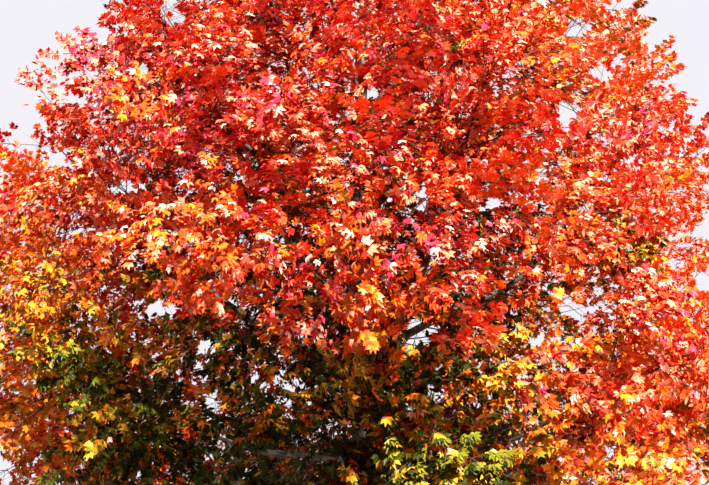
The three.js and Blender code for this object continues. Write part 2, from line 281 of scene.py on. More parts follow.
def height_share(points):
    return np.clip((points[:, 2] - CROWN_FOOT) / (TREE_HEIGHT - CROWN_FOOT), 0, 1)


print("crown radius at 3, 7, 11 and 15 m:", [round(float(crown_radius(h, 0)), 2) for h in (3, 7, 11, 15)])

# %% [markdown]
# ## The boughs
#
# A real sugar maple carries its boughs in loose tiers, level at the foot of the crown and steep at its
# top. Each could be drawn by hand as a curve object. But the model has already placed them by a rule: a
# cubic curve from the trunk to the near side of a mass of foliage, with a slight sway. The same tiers
# and the same order of the rolls make these boughs fall on the model's.

# %% A limb's middle line
LIMB_PULL = 0.36
LIMB_STEP = 1e-4
LENGTH_STEPS = 200


class Limb:
    """A cubic Bezier curve between two places and directions, plus a sway that fades at both ends."""

    def __init__(self, start, end, set_out, arrive, sway=0.0, phase=0.0):
        pull = np.linalg.norm(end - start) * LIMB_PULL
        self.knots = np.array([start, start + set_out * pull, end - arrive * pull, end])
        self.across = side_of(unit(end - start))
        self.sway = sway
        self.phase = phase

    def at(self, t):
        t = np.asarray(t, dtype=float)[..., None]
        s = 1 - t
        a, b, c, d = self.knots
        swing = self.sway * np.sin(np.pi * t) ** 2 * np.sin(3 * np.pi * t + self.phase)
        return s**3 * a + 3 * s**2 * t * b + 3 * s * t**2 * c + t**3 * d + swing * self.across

    def along(self, t):
        t = np.asarray(t, dtype=float)
        return unit(self.at(np.minimum(t + LIMB_STEP, 1)) - self.at(np.maximum(t - LIMB_STEP, 0)))

    def length(self):
        steps = np.diff(self.at(np.linspace(0, 1, LENGTH_STEPS + 1)), axis=0)
        return float(np.sum(np.linalg.norm(steps, axis=1)))


arch = Limb(np.zeros(3), EAST, UP, -UP)
print("length of an arch one metre wide:", round(arch.length(), 3))

# %% Bough plan
TIERS = [
    dict(name="low", count=7, height=4.48, spread=3.29, foot=2.73, head=3.85, rise=14, turn=12),
    dict(name="mid", count=7, height=8.05, spread=3.29, foot=4.2, head=6.09, rise=40, turn=38),
    dict(name="high", count=6, height=11.27, spread=3.22, foot=6.72, head=8.54, rise=52, turn=4),
    dict(name="top", count=4, height=13.65, spread=2.94, foot=9.66, head=11.06, rise=50, turn=62),
]
BOUGH_RADII = dict(low=0.087, mid=0.084, high=0.07, top=0.05)
CREST = dict(key=900, height=14.63, spread=2.66)
MASS_TURN_SCATTER = 6
MASS_INSET_SHARE = 0.7
MASS_INSET_SCATTER = 0.126
MASS_HEIGHT_SCATTER = 0.322
BOUGH_REACH_SHARE = 0.52
BOUGH_LIFT = 0.12
BOUGH_TIP_RADIUS = 0.038
BOUGH_TAPER_POWER = 0.8
BOUGH_SWAY = 0.098
BOUGH_PHASES = 6


def plan_bough(tier, row, k):
    """The middle of the bough's mass inside the outline, its start on the trunk, and the curve between."""
    key = 100 * (row + 1) + k
    azimuth = tier["turn"] + 360 * k / tier["count"] + jitter(MASS_TURN_SCATTER, key, 1)
    height = tier["height"] + jitter(MASS_HEIGHT_SCATTER, key, 2)
    inset = MASS_INSET_SHARE * tier["spread"] + jitter(MASS_INSET_SCATTER, key, 3)
    centre = polar(azimuth, float(crown_radius(height, azimuth)) - inset, height)
    step = ((3 * k) % tier["count"]) / (tier["count"] - 1)
    start = trunk_centre(tier["foot"] + (tier["head"] - tier["foot"]) * step)
    rise = math.radians(tier["rise"])
    set_out = polar(azimuth, math.cos(rise), math.sin(rise))
    heading = unit(unit(centre - start) + UP * BOUGH_LIFT)
    tip = centre - heading * BOUGH_REACH_SHARE * tier["spread"]
    curve = Limb(start, tip, set_out, heading, BOUGH_SWAY, BOUGH_PHASES * roll(key, 4))
    mass = dict(key=key, centre=centre, spread=tier["spread"], tip=tip, heading=heading)
    return dict(name=f"{tier['name']}_{k + 1}", curve=curve, radius=BOUGH_RADII[tier["name"]], mass=mass)


def bough_radius(bough, t):
    """From the radius at the trunk to the tip's, by a power of what is left of the length."""
    return BOUGH_TIP_RADIUS + (bough["radius"] - BOUGH_TIP_RADIUS) * (1 - t) ** BOUGH_TAPER_POWER


boughs = [plan_bough(tier, row, k) for row, tier in enumerate(TIERS) for k in range(tier["count"])]
masses = {bough["name"]: bough["mass"] for bough in boughs}
leader_tip = trunk_centre(LEADER_HEIGHT)
masses["crest"] = dict(
    key=CREST["key"],
    centre=np.array([leader_tip[0], leader_tip[1], CREST["height"]]),
    spread=CREST["spread"],
    tip=leader_tip,
    heading=UP,
)
print("boughs:", len(boughs), "masses:", len(masses))

# %% [markdown]
# ## Twigs and sprays by the model's rule
#
# A maple's twigs stand in pairs, each pair crosswise to the last. Each mass has a stem with such pairs,
# each twig ends in a spray with a pair of sprays behind it, and what would leave the mass's share of
# the crown, or cross a limb or another spray, is turned and shortened, and then left out. The frame's
# leaves could be read back from its meshes instead, but a rule that is written out can be carried on to
# finer twigs. The tests are the model's, so the sprays found here are its large flat leaves, one for
# one.

# %% Room in the crown and beside the limbs
SPACE_MARGIN = 0.017
LIMB_MARGIN = 0.063
LIMB_SAMPLE = 0.084


def in_space(points, mass):
    """Inside the crown and the mass's spread, and on its side of the plane half way to each other mass."""
    fits = inside_crown(points) & (np.linalg.norm(points - mass["centre"], axis=-1) < mass["spread"])
    mine = np.sum((points - mass["centre"]) ** 2, axis=-1)
    for other in masses.values():
        if other is not mass:
            apart = np.linalg.norm(other["centre"] - mass["centre"])
            its = np.sum((points - other["centre"]) ** 2, axis=-1)
            fits &= (its - mine) / (2 * apart) > SPACE_MARGIN
    return fits


def sample_limbs():
    """Points down the middle of the trunk and the boughs, with the radius there."""
    heights = np.arange(0, LEADER_HEIGHT, LIMB_SAMPLE)
    points = [trunk_centre(heights)]
    radii = [trunk_radius(heights) + root_flare(heights, 0)]
    for bough in boughs:
        share = np.linspace(0, 1, math.ceil(bough["curve"].length() / LIMB_SAMPLE) + 1)
        points.append(bough["curve"].at(share))
        radii.append(bough_radius(bough, share))
    return np.concatenate(points), np.concatenate(radii)


limb_points, limb_radii = sample_limbs()
print("points down the limbs:", len(limb_points))


def twig_touches(start, end, radius):
    """Whether a twig comes within a margin of a limb, by the distance of each sample from its line."""
    line = end - start
    share = np.clip((limb_points - start) @ line / (line @ line), 0, 1)[:, None]
    gap = np.linalg.norm(start + share * line - limb_points, axis=1)
    return bool(np.any(gap < limb_radii + radius + LIMB_MARGIN))


def clear_of_limbs(points, room):
    """True where a point is more than room outside every sampled place of the trunk and the boughs."""
    clear = np.ones(len(points), dtype=bool)
    for place, radius in zip(limb_points, limb_radii):
        clear &= np.sum((points - place) ** 2, axis=1) > (radius + room) ** 2
    return clear


# %% A spray and its tests
SPRAY_LENGTH = 1.65
SPRAY_WIDTH_SHARE = 0.86
SPRAY_DROOP = 0.5
SPRAY_ROOT_ROOM = 0.084
FACING_LOWEST = -0.15
FACING_LIFT = 0.35
FACING_SCATTER = 0.3
FACING_LIFT_SCATTER = 0.2
EDGE_ON = 1e-12


def facing_at(root, key):
    """Out of the crown's heart, never far down, lifted to the light and scattered by the key."""
    out = unit(root - CROWN_HEART)
    out[2] = max(out[2], FACING_LOWEST)
    lift = FACING_LIFT + jitter(FACING_LIFT_SCATTER, key, 23)
    return unit(out + np.array([jitter(FACING_SCATTER, key, 21), jitter(FACING_SCATTER, key, 22), lift]))


def spray_from(twig, root, wanted, length, key):
    """A flat rhombus: root, two side corners half way, and tip, in the plane across its facing."""
    along = unit(wanted - UP * SPRAY_DROOP)
    facing = facing_at(root, key)
    facing = unit(facing - along * (facing @ along))
    across = np.cross(along, facing)
    half = across * length * SPRAY_WIDTH_SHARE / 2
    middle = root + along * length / 2
    corners = [root + along * SPRAY_ROOT_ROOM, middle + half, root + along * length, middle - half]
    directions = dict(along=along, across=across, facing=facing)
    return dict(twig=twig, root=root, length=length, corners=np.array(corners), **directions)


def halves(sprays):
    """Each spray's two triangles, left and right of its middle line."""
    picks = ((0, 1, 2), (0, 3, 2))
    return np.array([spray["corners"][list(pick)] for spray in sprays for pick in picks]).reshape(-1, 3, 3)


def spray_touches(spray):
    """Whether a limb's sampled place lies within its radius and a margin of the rhombus."""
    reach = limb_radii + LIMB_MARGIN
    offset = limb_points - spray["root"]
    along = offset @ spray["along"]
    share = along / spray["length"]
    half = spray["length"] * SPRAY_WIDTH_SHARE * np.maximum(0, np.minimum(share, 1 - share))
    near = (np.abs(offset @ spray["facing"]) < reach) & (along > -reach) & (along < spray["length"] + reach)
    return bool(np.any(near & (np.abs(offset @ spray["across"]) < half + reach)))


def any_crossing(starts, ends, triangles):
    """Whether a segment runs through a triangle: it meets the plane between its ends, inside all edges."""
    if len(starts) == 0 or len(triangles) == 0:
        return False
    way = (ends - starts)[:, None]
    corner = triangles[:, 0]
    edge_1 = triangles[:, 1] - corner
    edge_2 = triangles[:, 2] - corner
    across = np.cross(way, edge_2[None])
    scale = np.sum(edge_1 * across, axis=-1)
    scale = np.where(np.abs(scale) < EDGE_ON, EDGE_ON, scale)
    offset = starts[:, None] - corner[None]
    u = np.sum(offset * across, axis=-1) / scale
    turn = np.cross(offset, edge_1[None])
    v = np.sum(way * turn, axis=-1) / scale
    t = np.sum(edge_2 * turn, axis=-1) / scale
    return bool(np.any((u >= 0) & (v >= 0) & (u + v <= 1) & (t >= 0) & (t < 1)))


def spray_fits(spray, growth):
    """In its mass's space, clear of limbs, twigs and sprays, and with no spray through it either."""
    if not np.all(in_space(spray["corners"], growth["mass"])) or spray_touches(spray):
        return False
    others = [twig for twig in growth["twigs"] if twig is not spray["twig"]]
    sprays = growth["sprays"]
    starts = [twig["start"] for twig in others]
    starts += [corner for other in sprays for corner in other["corners"]]
    ends = [twig["end"] for twig in others]
    ends += [corner for other in sprays for corner in np.roll(other["corners"], -1, axis=0)]
    if any_crossing(np.array(starts), np.array(ends), halves([spray])):
        return False
    return not any_crossing(spray["corners"], np.roll(spray["corners"], -1, axis=0), halves(sprays))


flat_spray = dict(corners=np.array([[0, 0, 0], [1, 1, 0], [2, 0, 0], [1, -1, 0]]))
struck = any_crossing(np.array([EAST - UP]), np.array([EAST + UP]), halves([flat_spray]))
print("an upright line through a flat spray crosses it:", struck)

# %% Twigs and sprays of each mass
STEM_REACH_SHARE = 0.275
STEM_TIP_RADIUS = 0.028
FACE_GAP = 0.0003
TWIG_PAIRS = 3
FIRST_PAIR_AT = 0.2
LAST_PAIR_AT = 0.9
PAIR_TURN = 45
TWIG_LEAN = (56, 44)
TWIG_SHARE = 0.38
TWIG_SIZES = (1, 0.75, 0.55)
TWIG_RADIUS = 0.021
TWIG_FOOT_SHARE = 0.12
TWIG_TURN_SCATTER = 16
TWIG_LENGTH_SCATTER = 0.15
SPRAY_SEATS = ((0.985, 0), (0.52, 66), (0.52, -66))
SPRAY_SIZES = (1, 0.85, 0.7)
SPRAY_SWINGS = (0, 24, -24, 48)
SPRAY_TURN_SCATTER = 8
SPRAY_LENGTH_SCATTER = 0.1


def settle_twig(start, way, key, mass):
    """The longest size that stays in the mass's space and clear of the limbs."""
    for size in TWIG_SIZES:
        end = start + way * TWIG_SHARE * mass["spread"] * size * (1 + jitter(TWIG_LENGTH_SCATTER, key, 26))
        beyond_stem = start + (end - start) * TWIG_FOOT_SHARE
        if in_space(end, mass) and not twig_touches(beyond_stem, end, TWIG_RADIUS):
            return dict(start=start, end=end, way=way)
    return None


def settle_spray(twig, share, angle, key, growth):
    """The first size and swing that fits, from the largest down."""
    root = twig["start"] + (twig["end"] - twig["start"]) * share
    for size in SPRAY_SIZES:
        length = SPRAY_LENGTH * size * (1 + jitter(SPRAY_LENGTH_SCATTER, key, 25))
        for swing in SPRAY_SWINGS:
            turn = angle + swing + jitter(SPRAY_TURN_SCATTER, key, 24)
            spray = spray_from(twig, root, turned(twig["way"], facing_at(root, key), turn), length, key)
            if spray_fits(spray, growth):
                return spray
    return None


def twig_starts(mass, stem):
    """Pairs that stand off the stem, crosswise in turn, and one that carries it on: place, way and key."""
    for pair in range(TWIG_PAIRS):
        t = FIRST_PAIR_AT + (LAST_PAIR_AT - FIRST_PAIR_AT) * pair / (TWIG_PAIRS - 1)
        along = stem.along(t)
        lean = math.radians(TWIG_LEAN[0] + (TWIG_LEAN[1] - TWIG_LEAN[0]) * t)
        for half in (0, 1):
            key = mass["key"] * 100 + pair * 10 + half + 1
            turn = 180 * half + 90 * (pair % 2) + PAIR_TURN + jitter(TWIG_TURN_SCATTER, key, 27)
            around = turned(side_of(along), along, turn)
            yield stem.at(t), along * math.cos(lean) + around * math.sin(lean), key
    yield stem.at(1) - mass["heading"] * STEM_TIP_RADIUS, mass["heading"], mass["key"] * 100 + 90


def grow_mass(mass):
    """A stem, and the twigs and sprays that find room on it, in the model's order."""
    root = mass["tip"] + mass["heading"] * FACE_GAP
    tip = mass["centre"] + mass["heading"] * STEM_REACH_SHARE * mass["spread"]
    stem = Limb(root, tip, mass["heading"], mass["heading"])
    growth = dict(mass=mass, stem=stem, twigs=[], sprays=[])
    for start, way, key in twig_starts(mass, stem):
        twig = settle_twig(start, way, key, mass)
        if twig is None:
            continue
        growth["twigs"].append(twig)
        for i, (share, angle) in enumerate(SPRAY_SEATS):
            spray = settle_spray(twig, share, angle, 10 * key + i, growth)
            if spray is not None:
                growth["sprays"].append(spray)
    return growth


grown = {name: grow_mass(mass) for name, mass in masses.items()}
twigs = [twig for growth in grown.values() for twig in growth["twigs"]]
sprays = [spray for growth in grown.values() for spray in growth["sprays"]]
print("twigs:", len(twigs), "sprays:", len(sprays))


def furthest_from_frame(name):
    """How far the sprays' box lies past the box of the model's node, at its worst side."""
    tips = np.concatenate([spray["corners"][1:] for spray in grown[name]["sprays"]])
    low, high = (np.array(corner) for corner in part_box(f"foliage_{name}"))
    return float(max(np.max(tips.max(axis=0) - high), np.max(low - tips.min(axis=0))))


past = max(furthest_from_frame(name) for name in grown)
print("sprays past the model's boxes, mm:", round(1000 * past, 1))

# %% [markdown]
# ## Twigs inside the crown
#
# The model leaves the boughs bare up to their masses, but on the tree they carry twigs of their own,
# and so does the leader, which is what closes the heart of the crown. Leaves hung in the middle with
# nothing to carry them would close it too, but bare air would show between them from below. So the same
# pairs of twigs stand on the boughs here: crosswise in turn, leaning out from the limb, and dropped
# where they would meet another limb.

# %% Inner twigs
INNER_STEP = 0.5
INNER_LENGTH = 1.33
INNER_LENGTH_SHARES = (0.7, 1.25)
INNER_LEAN = 58
INNER_LIFT = 0.2
INNER_TURN_SCATTER = 14
INNER_BARE_FOOT = 0.77
INNER_ROOM = 0.17
INNER_MARGIN = 0.42
LEADER_BARE_TO = 4.6
LEADER_RISE = 0.01


def inner_seats():
    """Even steps along the boughs and up the leader: place, direction, and which pair it is."""
    for bough in boughs:
        run = np.arange(INNER_BARE_FOOT, bough["curve"].length(), INNER_STEP)
        share = run / bough["curve"].length()
        yield bough["curve"].at(share), bough["curve"].along(share), np.arange(len(run))
    heights = np.arange(LEADER_BARE_TO, LEADER_HEIGHT, INNER_STEP)
    rise = unit(trunk_centre(heights + LEADER_RISE) - trunk_centre(heights))
    yield trunk_centre(heights), rise, np.arange(len(heights))


def inner_twigs():
    """The start and end of two twigs at each seat, on opposite sides and a little lifted."""
    place, along, pair = (np.repeat(np.concatenate(part), 2, axis=0) for part in zip(*inner_seats()))
    count = len(place)
    turn = np.tile([0, 180], count // 2) + 90 * (pair % 2) + PAIR_TURN
    turn = turn + chance.normal(0, INNER_TURN_SCATTER, count)
    lean = math.radians(INNER_LEAN)
    way = along * math.cos(lean) + turned(side_of(along), along, turn[:, None]) * math.sin(lean)
    way = unit(way + INNER_LIFT * UP)
    end = place + way * (INNER_LENGTH * chance.uniform(*INNER_LENGTH_SHARES, count))[:, None]
    kept = inside_crown(end, INNER_MARGIN) & clear_of_limbs(end, INNER_ROOM)
    kept &= clear_of_limbs((place + 2 * end) / 3, INNER_ROOM)
    return place[kept], end[kept]


inner_start, inner_end = inner_twigs()
print("inner twigs:", len(inner_start))

# %% [markdown]
# ## Noise in space
#
# Smooth noise is chance that changes gradually from place to place. Here it makes the crown's outline
# uneven and its openings ragged, and later it furrows the bark. Blender has such noise in its shaders
# and in mathutils, one place at a time. This one takes whole arrays: random numbers stand on a lattice,
# and each place takes a blend of the eight that stand round it.

# %% Noise
NOISE_CELLS = 32
noise_table = chance.random((NOISE_CELLS, NOISE_CELLS, NOISE_CELLS))


def noise(points):
    """Random numbers on a cubic lattice, blended between its corners by the smooth step 3 t^2 - 2 t^3."""
    cell = np.floor(points).astype(int)
    part = points - cell
    part = part * part * (3 - 2 * part)
    total = np.zeros(points.shape[:-1])
    for corner in np.ndindex(2, 2, 2):
        index = (cell + corner) % NOISE_CELLS
        weight = np.prod(np.where(corner, part, 1 - part), axis=-1)
        total += weight * noise_table[index[..., 0], index[..., 1], index[..., 2]]
    return total


print("noise at two places:", noise(np.array([[0.2, 0.4, 0.1], [5.5, 2.1, 7.7]])).round(3))

# %% [markdown]
# ## Twigs that grow into the gaps
#
# Branches grow to where there is light and room. That can be copied: points are strewn through the
# outer crown, each looks for the nearest twig, and where that is too far off for side shoots to fill
# the gap, a new twig grows to the point. It leaves its parent a little way back, so that it leans
# forward as side twigs do. A few rounds close the larger gaps and leave the small ones, through which
# the sky shows. No crown has a smooth outline, so the points keep back from it by an amount that noise
# sets, and noise leaves some places inside empty too. Only in the middle of the front, where the
# photograph's crown is full, do both fade out.

# %% Where foliage may stand
FILL_POINTS = 8000
FILL_DEPTH = 2.2
FILL_MARGIN = 0.35
BAY_SPACING = 1.3
BAY_DEPTH = 2.6
BAY_SHIFT = (28.4, 20.8, 8.8)
VOID_SPACING = 0.8
VOID_SHIFT = (23.9, 11.8, 28.8)
VOID_SHARES = (0.46, 0.35)
VOID_HEIGHTS = (4.3, 5.8)
FULL_PLACE = (0.0, -6.0, 6.4)
FULL_RADIUS = 1.4


def hump(points, centre, radius):
    """1 at the centre, falling smoothly to nothing over about twice the radius."""
    return np.exp(-np.sum((points - np.array(centre)) ** 2, axis=1) / radius**2)


def bay_depth(points):
    """How far the ragged outline lies inside the smooth one: noise, squared so that deep bays are few."""
    uneven = 1 - hump(points, FULL_PLACE, FULL_RADIUS)
    return BAY_DEPTH * uneven * noise(points / BAY_SPACING + BAY_SHIFT) ** 2


def has_foliage(points):
    """True outside the voids, where a second noise is low; there are more of them near the crown's foot."""
    uneven = 1 - hump(points, FULL_PLACE, FULL_RADIUS)
    share = np.interp(points[:, 2], VOID_HEIGHTS, VOID_SHARES) * uneven
    return noise(points / VOID_SPACING + VOID_SHIFT) > share


def points_in_crown():
    """Points strewn evenly through the outer crown, down to a set depth under its outline."""
    box = np.array([CROWN_RADIUS, CROWN_RADIUS, (TREE_HEIGHT - CROWN_FOOT) / 2])
    points = chance.uniform(-1, 1, (FILL_POINTS, 3)) * box + [0, 0, (TREE_HEIGHT + CROWN_FOOT) / 2]
    outer = inside_crown(points, FILL_MARGIN + bay_depth(points)) & ~inside_crown(points, FILL_DEPTH)
    return points[outer & has_foliage(points)]


widest_round = np.array([polar(azimuth, CROWN_RADIUS, CROWN_WIDEST_AT) for azimuth in range(0, 360, 60)])
print("depth of the bays round the widest height, m:", bay_depth(widest_round).round(2))

# %% Filling twigs
FILL_ROUNDS = 4
FILL_GAP = 0.55
FILL_REACH = 1.7
FILL_SETBACK = 0.6
TWIG_SAMPLE = 0.15


def line_samples(starts, ends):
    """Places at even steps along each line, which line each is on, and how far along it the place is."""
    length = np.linalg.norm(ends - starts, axis=1)
    counts = np.maximum(2, np.ceil(length / TWIG_SAMPLE).astype(int))
    line = np.repeat(np.arange(len(starts)), counts)
    step = np.arange(len(line)) - np.repeat(np.cumsum(counts) - counts, counts)
    share = step / (counts[line] - 1)
    return starts[line] + share[:, None] * (ends - starts)[line], line, share * length[line]


def nearest_of(places, points):
    """The index of the nearest place to each point, and how far off it is."""
    tree = KDTree(len(places))
    for k, place in enumerate(places):
        tree.insert(place, k)
    tree.balance()
    found = [tree.find(point) for point in points]
    return np.array([k for _, k, _ in found]), np.array([far for _, _, far in found])


def spaced(points):
    """Which points to keep so that no two are nearer than the gap: each, unless one before it is near."""
    kept = []
    for k, point in enumerate(points):
        if not kept or np.min(np.linalg.norm(points[kept] - point, axis=1)) > FILL_GAP:
            kept.append(k)
    return kept


def fill_round(starts, ends):
    """A twig to each spaced point in the open, from a little way back along its parent."""
    points = points_in_crown()
    places, line, run = line_samples(starts, ends)
    near, far = nearest_of(places, points)
    open_to = np.flatnonzero((far > FILL_GAP) & (far < FILL_REACH) & clear_of_limbs(points, INNER_ROOM))
    open_to = open_to[spaced(points[open_to])]
    parent = near[open_to]
    back = np.minimum(run[near], far * FILL_SETBACK)[open_to]
    root = places[parent] - unit(ends - starts)[line[parent]] * back[:, None]
    tip = points[open_to]
    clear = clear_of_limbs((root + tip) / 2, INNER_ROOM) & clear_of_limbs((root + 3 * tip) / 4, INNER_ROOM)
    return root[clear], tip[clear]


def fill_twigs():
    """Rounds of new twigs, each round growing from all twigs before it."""
    starts = np.array([twig["start"] for twig in twigs] + [spray["root"] for spray in sprays])
    ends = np.array([twig["end"] for twig in twigs] + [spray["corners"][2] for spray in sprays])
    known = len(starts)
    for _ in range(FILL_ROUNDS):
        root, tip = fill_round(starts, ends)
        print("twigs grown into gaps:", len(root))
        starts = np.concatenate([starts, root])
        ends = np.concatenate([ends, tip])
    return starts[known:], ends[known:]


fill_start, fill_end = fill_twigs()

# %% [markdown]
# ## Side shoots
#
# From here the fine tree goes past the model. The same habit is carried on at a smaller size: every
# stem, twig and spray carries side shoots in pairs, each pair crosswise to the last, and every shoot
# bends outward to the light. Instances scattered by Geometry Nodes would be quick to set up, but they
# know nothing of pairs. So the shoots are worked out as arrays with one row for each. A shoot that
# would leave the crown's outline is tried shorter, and one that touches a limb is dropped. The end of
# every line is a shoot of its own, so that no twig ends bare.

# %% Lines that carry shoots
OUTER_STEP = 0.225
SHADE_STEP = 0.36
SHOOT_LENGTH = 0.63
SPRAY_EDGE_SHARE = 0.45
STEM_STRETCHES = 4
FILL_BARE_SHARE = 0.2
INNER_BARE_SHARE = 0.15


def even_reach(share):
    return np.full(len(share), SHOOT_LENGTH)


def spray_reach(share):
    """Longest in the middle of a spray and shorter to both ends, where the spray is narrow."""
    return SHOOT_LENGTH * (SPRAY_EDGE_SHARE + (1 - SPRAY_EDGE_SHARE) * np.sin(np.pi * share))


def straight_lines():
    """Start, end, length of shoots and step for stretches of stem, twigs, sprays and inner twigs."""
    for growth in grown.values():
        knots = growth["stem"].at(np.linspace(0, 1, STEM_STRETCHES + 1))
        for start, end in zip(knots[:-1], knots[1:]):
            yield start, end, even_reach, OUTER_STEP
        for twig in growth["twigs"]:
            yield twig["start"], twig["end"], even_reach, OUTER_STEP
        for spray in growth["sprays"]:
            yield spray["root"], spray["corners"][2], spray_reach, OUTER_STEP
    for start, end in zip(fill_start, fill_end):
        yield start + (end - start) * FILL_BARE_SHARE, end, even_reach, OUTER_STEP
    for start, end in zip(inner_start, inner_end):
        yield start + (end - start) * INNER_BARE_SHARE, end, even_reach, SHADE_STEP


def seat_rows(start, end, reach, step, line):
    """Even steps along a line: place, direction, which of the crosswise pairs it is, length, line."""
    span = np.linalg.norm(end - start)
    count = max(2, round(span / step))
    share = (np.arange(count) + 0.5) / count
    places = start + share[:, None] * (end - start)
    along = np.repeat(unit(end - start)[None], count, axis=0)
    return places, along, np.arange(count), reach(share), np.full(count, line)


lines = list(straight_lines())
inner_from = len(lines) - len(inner_start)
seats = [seat_rows(*line, k) for k, line in enumerate(lines)]
seat_at, seat_along, seat_pair, seat_length, seat_line = (np.concatenate(part) for part in zip(*seats))
print("lines:", len(lines), "pairs of shoots:", len(seat_at))

# %% Shoots
SHOOT_LEAN = 52
SHOOT_LEAN_SCATTER = 9
SHOOT_TURN_SCATTER = 22
SHOOT_OUTWARD = 0.3
SHOOT_BEND = 0.35
SHOOT_SAG = 0.15
SHOOT_WANDER = 0.12
SHOOT_LENGTH_SHARES = (0.75, 1.25)
SHOOT_SIZES = (0.45, 0.7, 1)
OUTLINE_MARGIN = 0.14
TWIG_CLEARANCE = 0.042
END_LENGTH = 0.36
END_SHARE = 0.7


def outward(points):
    """Away from the heart of the crown."""
    return unit(points - CROWN_HEART)


def plan_shoots():
    """Two shoots at each seat, on opposite sides, as knots of two straight stretches."""
    count = len(seat_at) * 2
    root, along = np.repeat(seat_at, 2, axis=0), np.repeat(seat_along, 2, axis=0)
    half = np.tile([0, 180], len(seat_at))
    turn = half + 90 * (np.repeat(seat_pair, 2) % 2) + PAIR_TURN
    turn = turn + chance.normal(0, SHOOT_TURN_SCATTER, count)
    lean = np.radians(SHOOT_LEAN + chance.normal(0, SHOOT_LEAN_SCATTER, count))[:, None]
    around = turned(side_of(along), along, turn[:, None])
    away = outward(root)
    first = unit(along * np.cos(lean) + around * np.sin(lean) + SHOOT_OUTWARD * away)
    second = unit(first + SHOOT_BEND * away - SHOOT_SAG * UP + SHOOT_WANDER * scatter(count))
    length = (np.repeat(seat_length, 2) * chance.uniform(*SHOOT_LENGTH_SHARES, count))[:, None]
    best = np.zeros((count, 1))
    for size in SHOOT_SIZES:
        tip = root + (first + second) * length * size / 2
        best[inside_crown(tip, OUTLINE_MARGIN)] = size
    middle = root + first * length * best / 2
    tip = middle + second * length * best / 2
    kept = (best[:, 0] > 0) & clear_of_limbs(middle, TWIG_CLEARANCE) & clear_of_limbs(tip, TWIG_CLEARANCE)
    knots = np.stack([root, middle, tip], axis=1)
    return knots[kept], np.repeat(seat_line, 2)[kept]


def line_ends():
    """The last stretch of every line as a straight shoot: a set length, or a share of a short line."""
    start, end = np.array([line[0] for line in lines]), np.array([line[1] for line in lines])
    length = np.minimum(END_LENGTH, np.linalg.norm(end - start, axis=1) * END_SHARE)
    back = end - unit(end - start) * length[:, None]
    return np.stack([back, (back + end) / 2, end], axis=1), np.arange(len(lines))


side_knots, side_line = plan_shoots()
end_knots, end_line = line_ends()
shoot_knots = np.concatenate([side_knots, end_knots])
shoot_line = np.concatenate([side_line, end_line])
shoot_length = np.linalg.norm(shoot_knots[:, 1] - shoot_knots[:, 0], axis=1) * 2
print("shoots:", len(shoot_knots), "mean length:", round(float(shoot_length.mean()), 3))

# %% [markdown]
# ## One maple leaf
#
# Seen from across a garden, a maple leaf is told by its outline: three long lobes, two corners at the
# foot, and a long stalk. A card with a picture of a leaf would be lighter, but its edge is lost in a
# mesh that other tools read, and all cards catch the light alike. So the leaf is a fan of six triangles
# from the foot of the blade, round the tips of the lobes and the notches between them, and the stalk is
# one long thin triangle. The lobes fold down a little, so each leaf catches the light in its own way.

# %% Leaf outline
STALK_SHARE = 0.5
STALK_WIDTH_SHARE = 0.022

foot = (0.0, 0.0, 0.0)
basal_corner = (0.04, 0.4, -0.06)
side_tip = (0.64, 0.52, -0.1)
notch = (0.52, 0.17, 0.03)
end_tip = (1.0, 0.0, -0.13)
right_half = [basal_corner, side_tip, notch]
left_half = [(along, -across, lift) for along, across, lift in reversed(right_half)]
BLADE = np.array([foot] + right_half + [end_tip] + left_half)
BLADE_FACES = np.array([(0, k + 1, k) for k in range(1, len(BLADE) - 1)])
STALK_SIDES = np.array([-STALK_WIDTH_SHARE, STALK_WIDTH_SHARE])
LEAF_FACES = np.concatenate([BLADE_FACES, [(len(BLADE), 0, len(BLADE) + 1)]])
LEAF_POINTS = len(BLADE) + len(STALK_SIDES)
print("points and triangles of a leaf:", LEAF_POINTS, len(LEAF_FACES))

# %% [markdown]
# ## Leaves on the shoots
#
# Leaves stand in pairs too, with one at the shoot's tip. Each holds its blade to the light: its face
# looks outward and upward, tilted a little with its twig and a little by itself, and its tip hangs. A
# leaf in full sun stays small, and one in the shade grows over half as large again. A particle system
# could strew copies of one leaf, but it would not know where the light is. So every leaf is made from
# the one outline by a product of arrays, with its own foot, length and three directions.

# %% Leaf seats
PAIR_SHARES = (0.36, 0.52, 0.65, 0.77, 0.87, 0.95)
TIP_SHARE = 1.0
SPARE_PAIRS = (0.52, 0.77)
SPARE_PAIRS_FROM = 0.42


def along_shoots(share):
    """The place and direction on every shoot at one share of its length, on one of its two stretches."""
    root, middle, tip = shoot_knots[:, 0], shoot_knots[:, 1], shoot_knots[:, 2]
    if share < 0.5:
        return root + (middle - root) * share * 2, unit(middle - root)
    return middle + (tip - middle) * (share * 2 - 1), unit(tip - middle)


def leaf_seats():
    """Two leaves at each share, each pair a quarter turn on, and one at the tip.

    The spare pairs stand only on long shoots of the outer crown.
    """
    rows = [(share, 90 * (pair % 2) + half) for pair, share in enumerate(PAIR_SHARES) for half in (0, 180)]
    rows.append((TIP_SHARE, 0))
    places, ways = zip(*(along_shoots(share) for share, _ in rows))
    count = len(shoot_knots)
    turn = np.repeat([turn for _, turn in rows], count)
    at_tip = np.repeat([share == TIP_SHARE for share, _ in rows], count)
    spare = np.repeat([share in SPARE_PAIRS for share, _ in rows], count)
    shoot = np.tile(np.arange(count), len(rows))
    kept = ~spare | ((shoot_length > SPARE_PAIRS_FROM) & (shoot_line < inner_from))[shoot]
    return np.concatenate(places)[kept], np.concatenate(ways)[kept], turn[kept], at_tip[kept], shoot[kept]


leaf_at, leaf_way, leaf_turn, leaf_at_tip, leaf_shoot = leaf_seats()
print("leaf seats:", len(leaf_at))

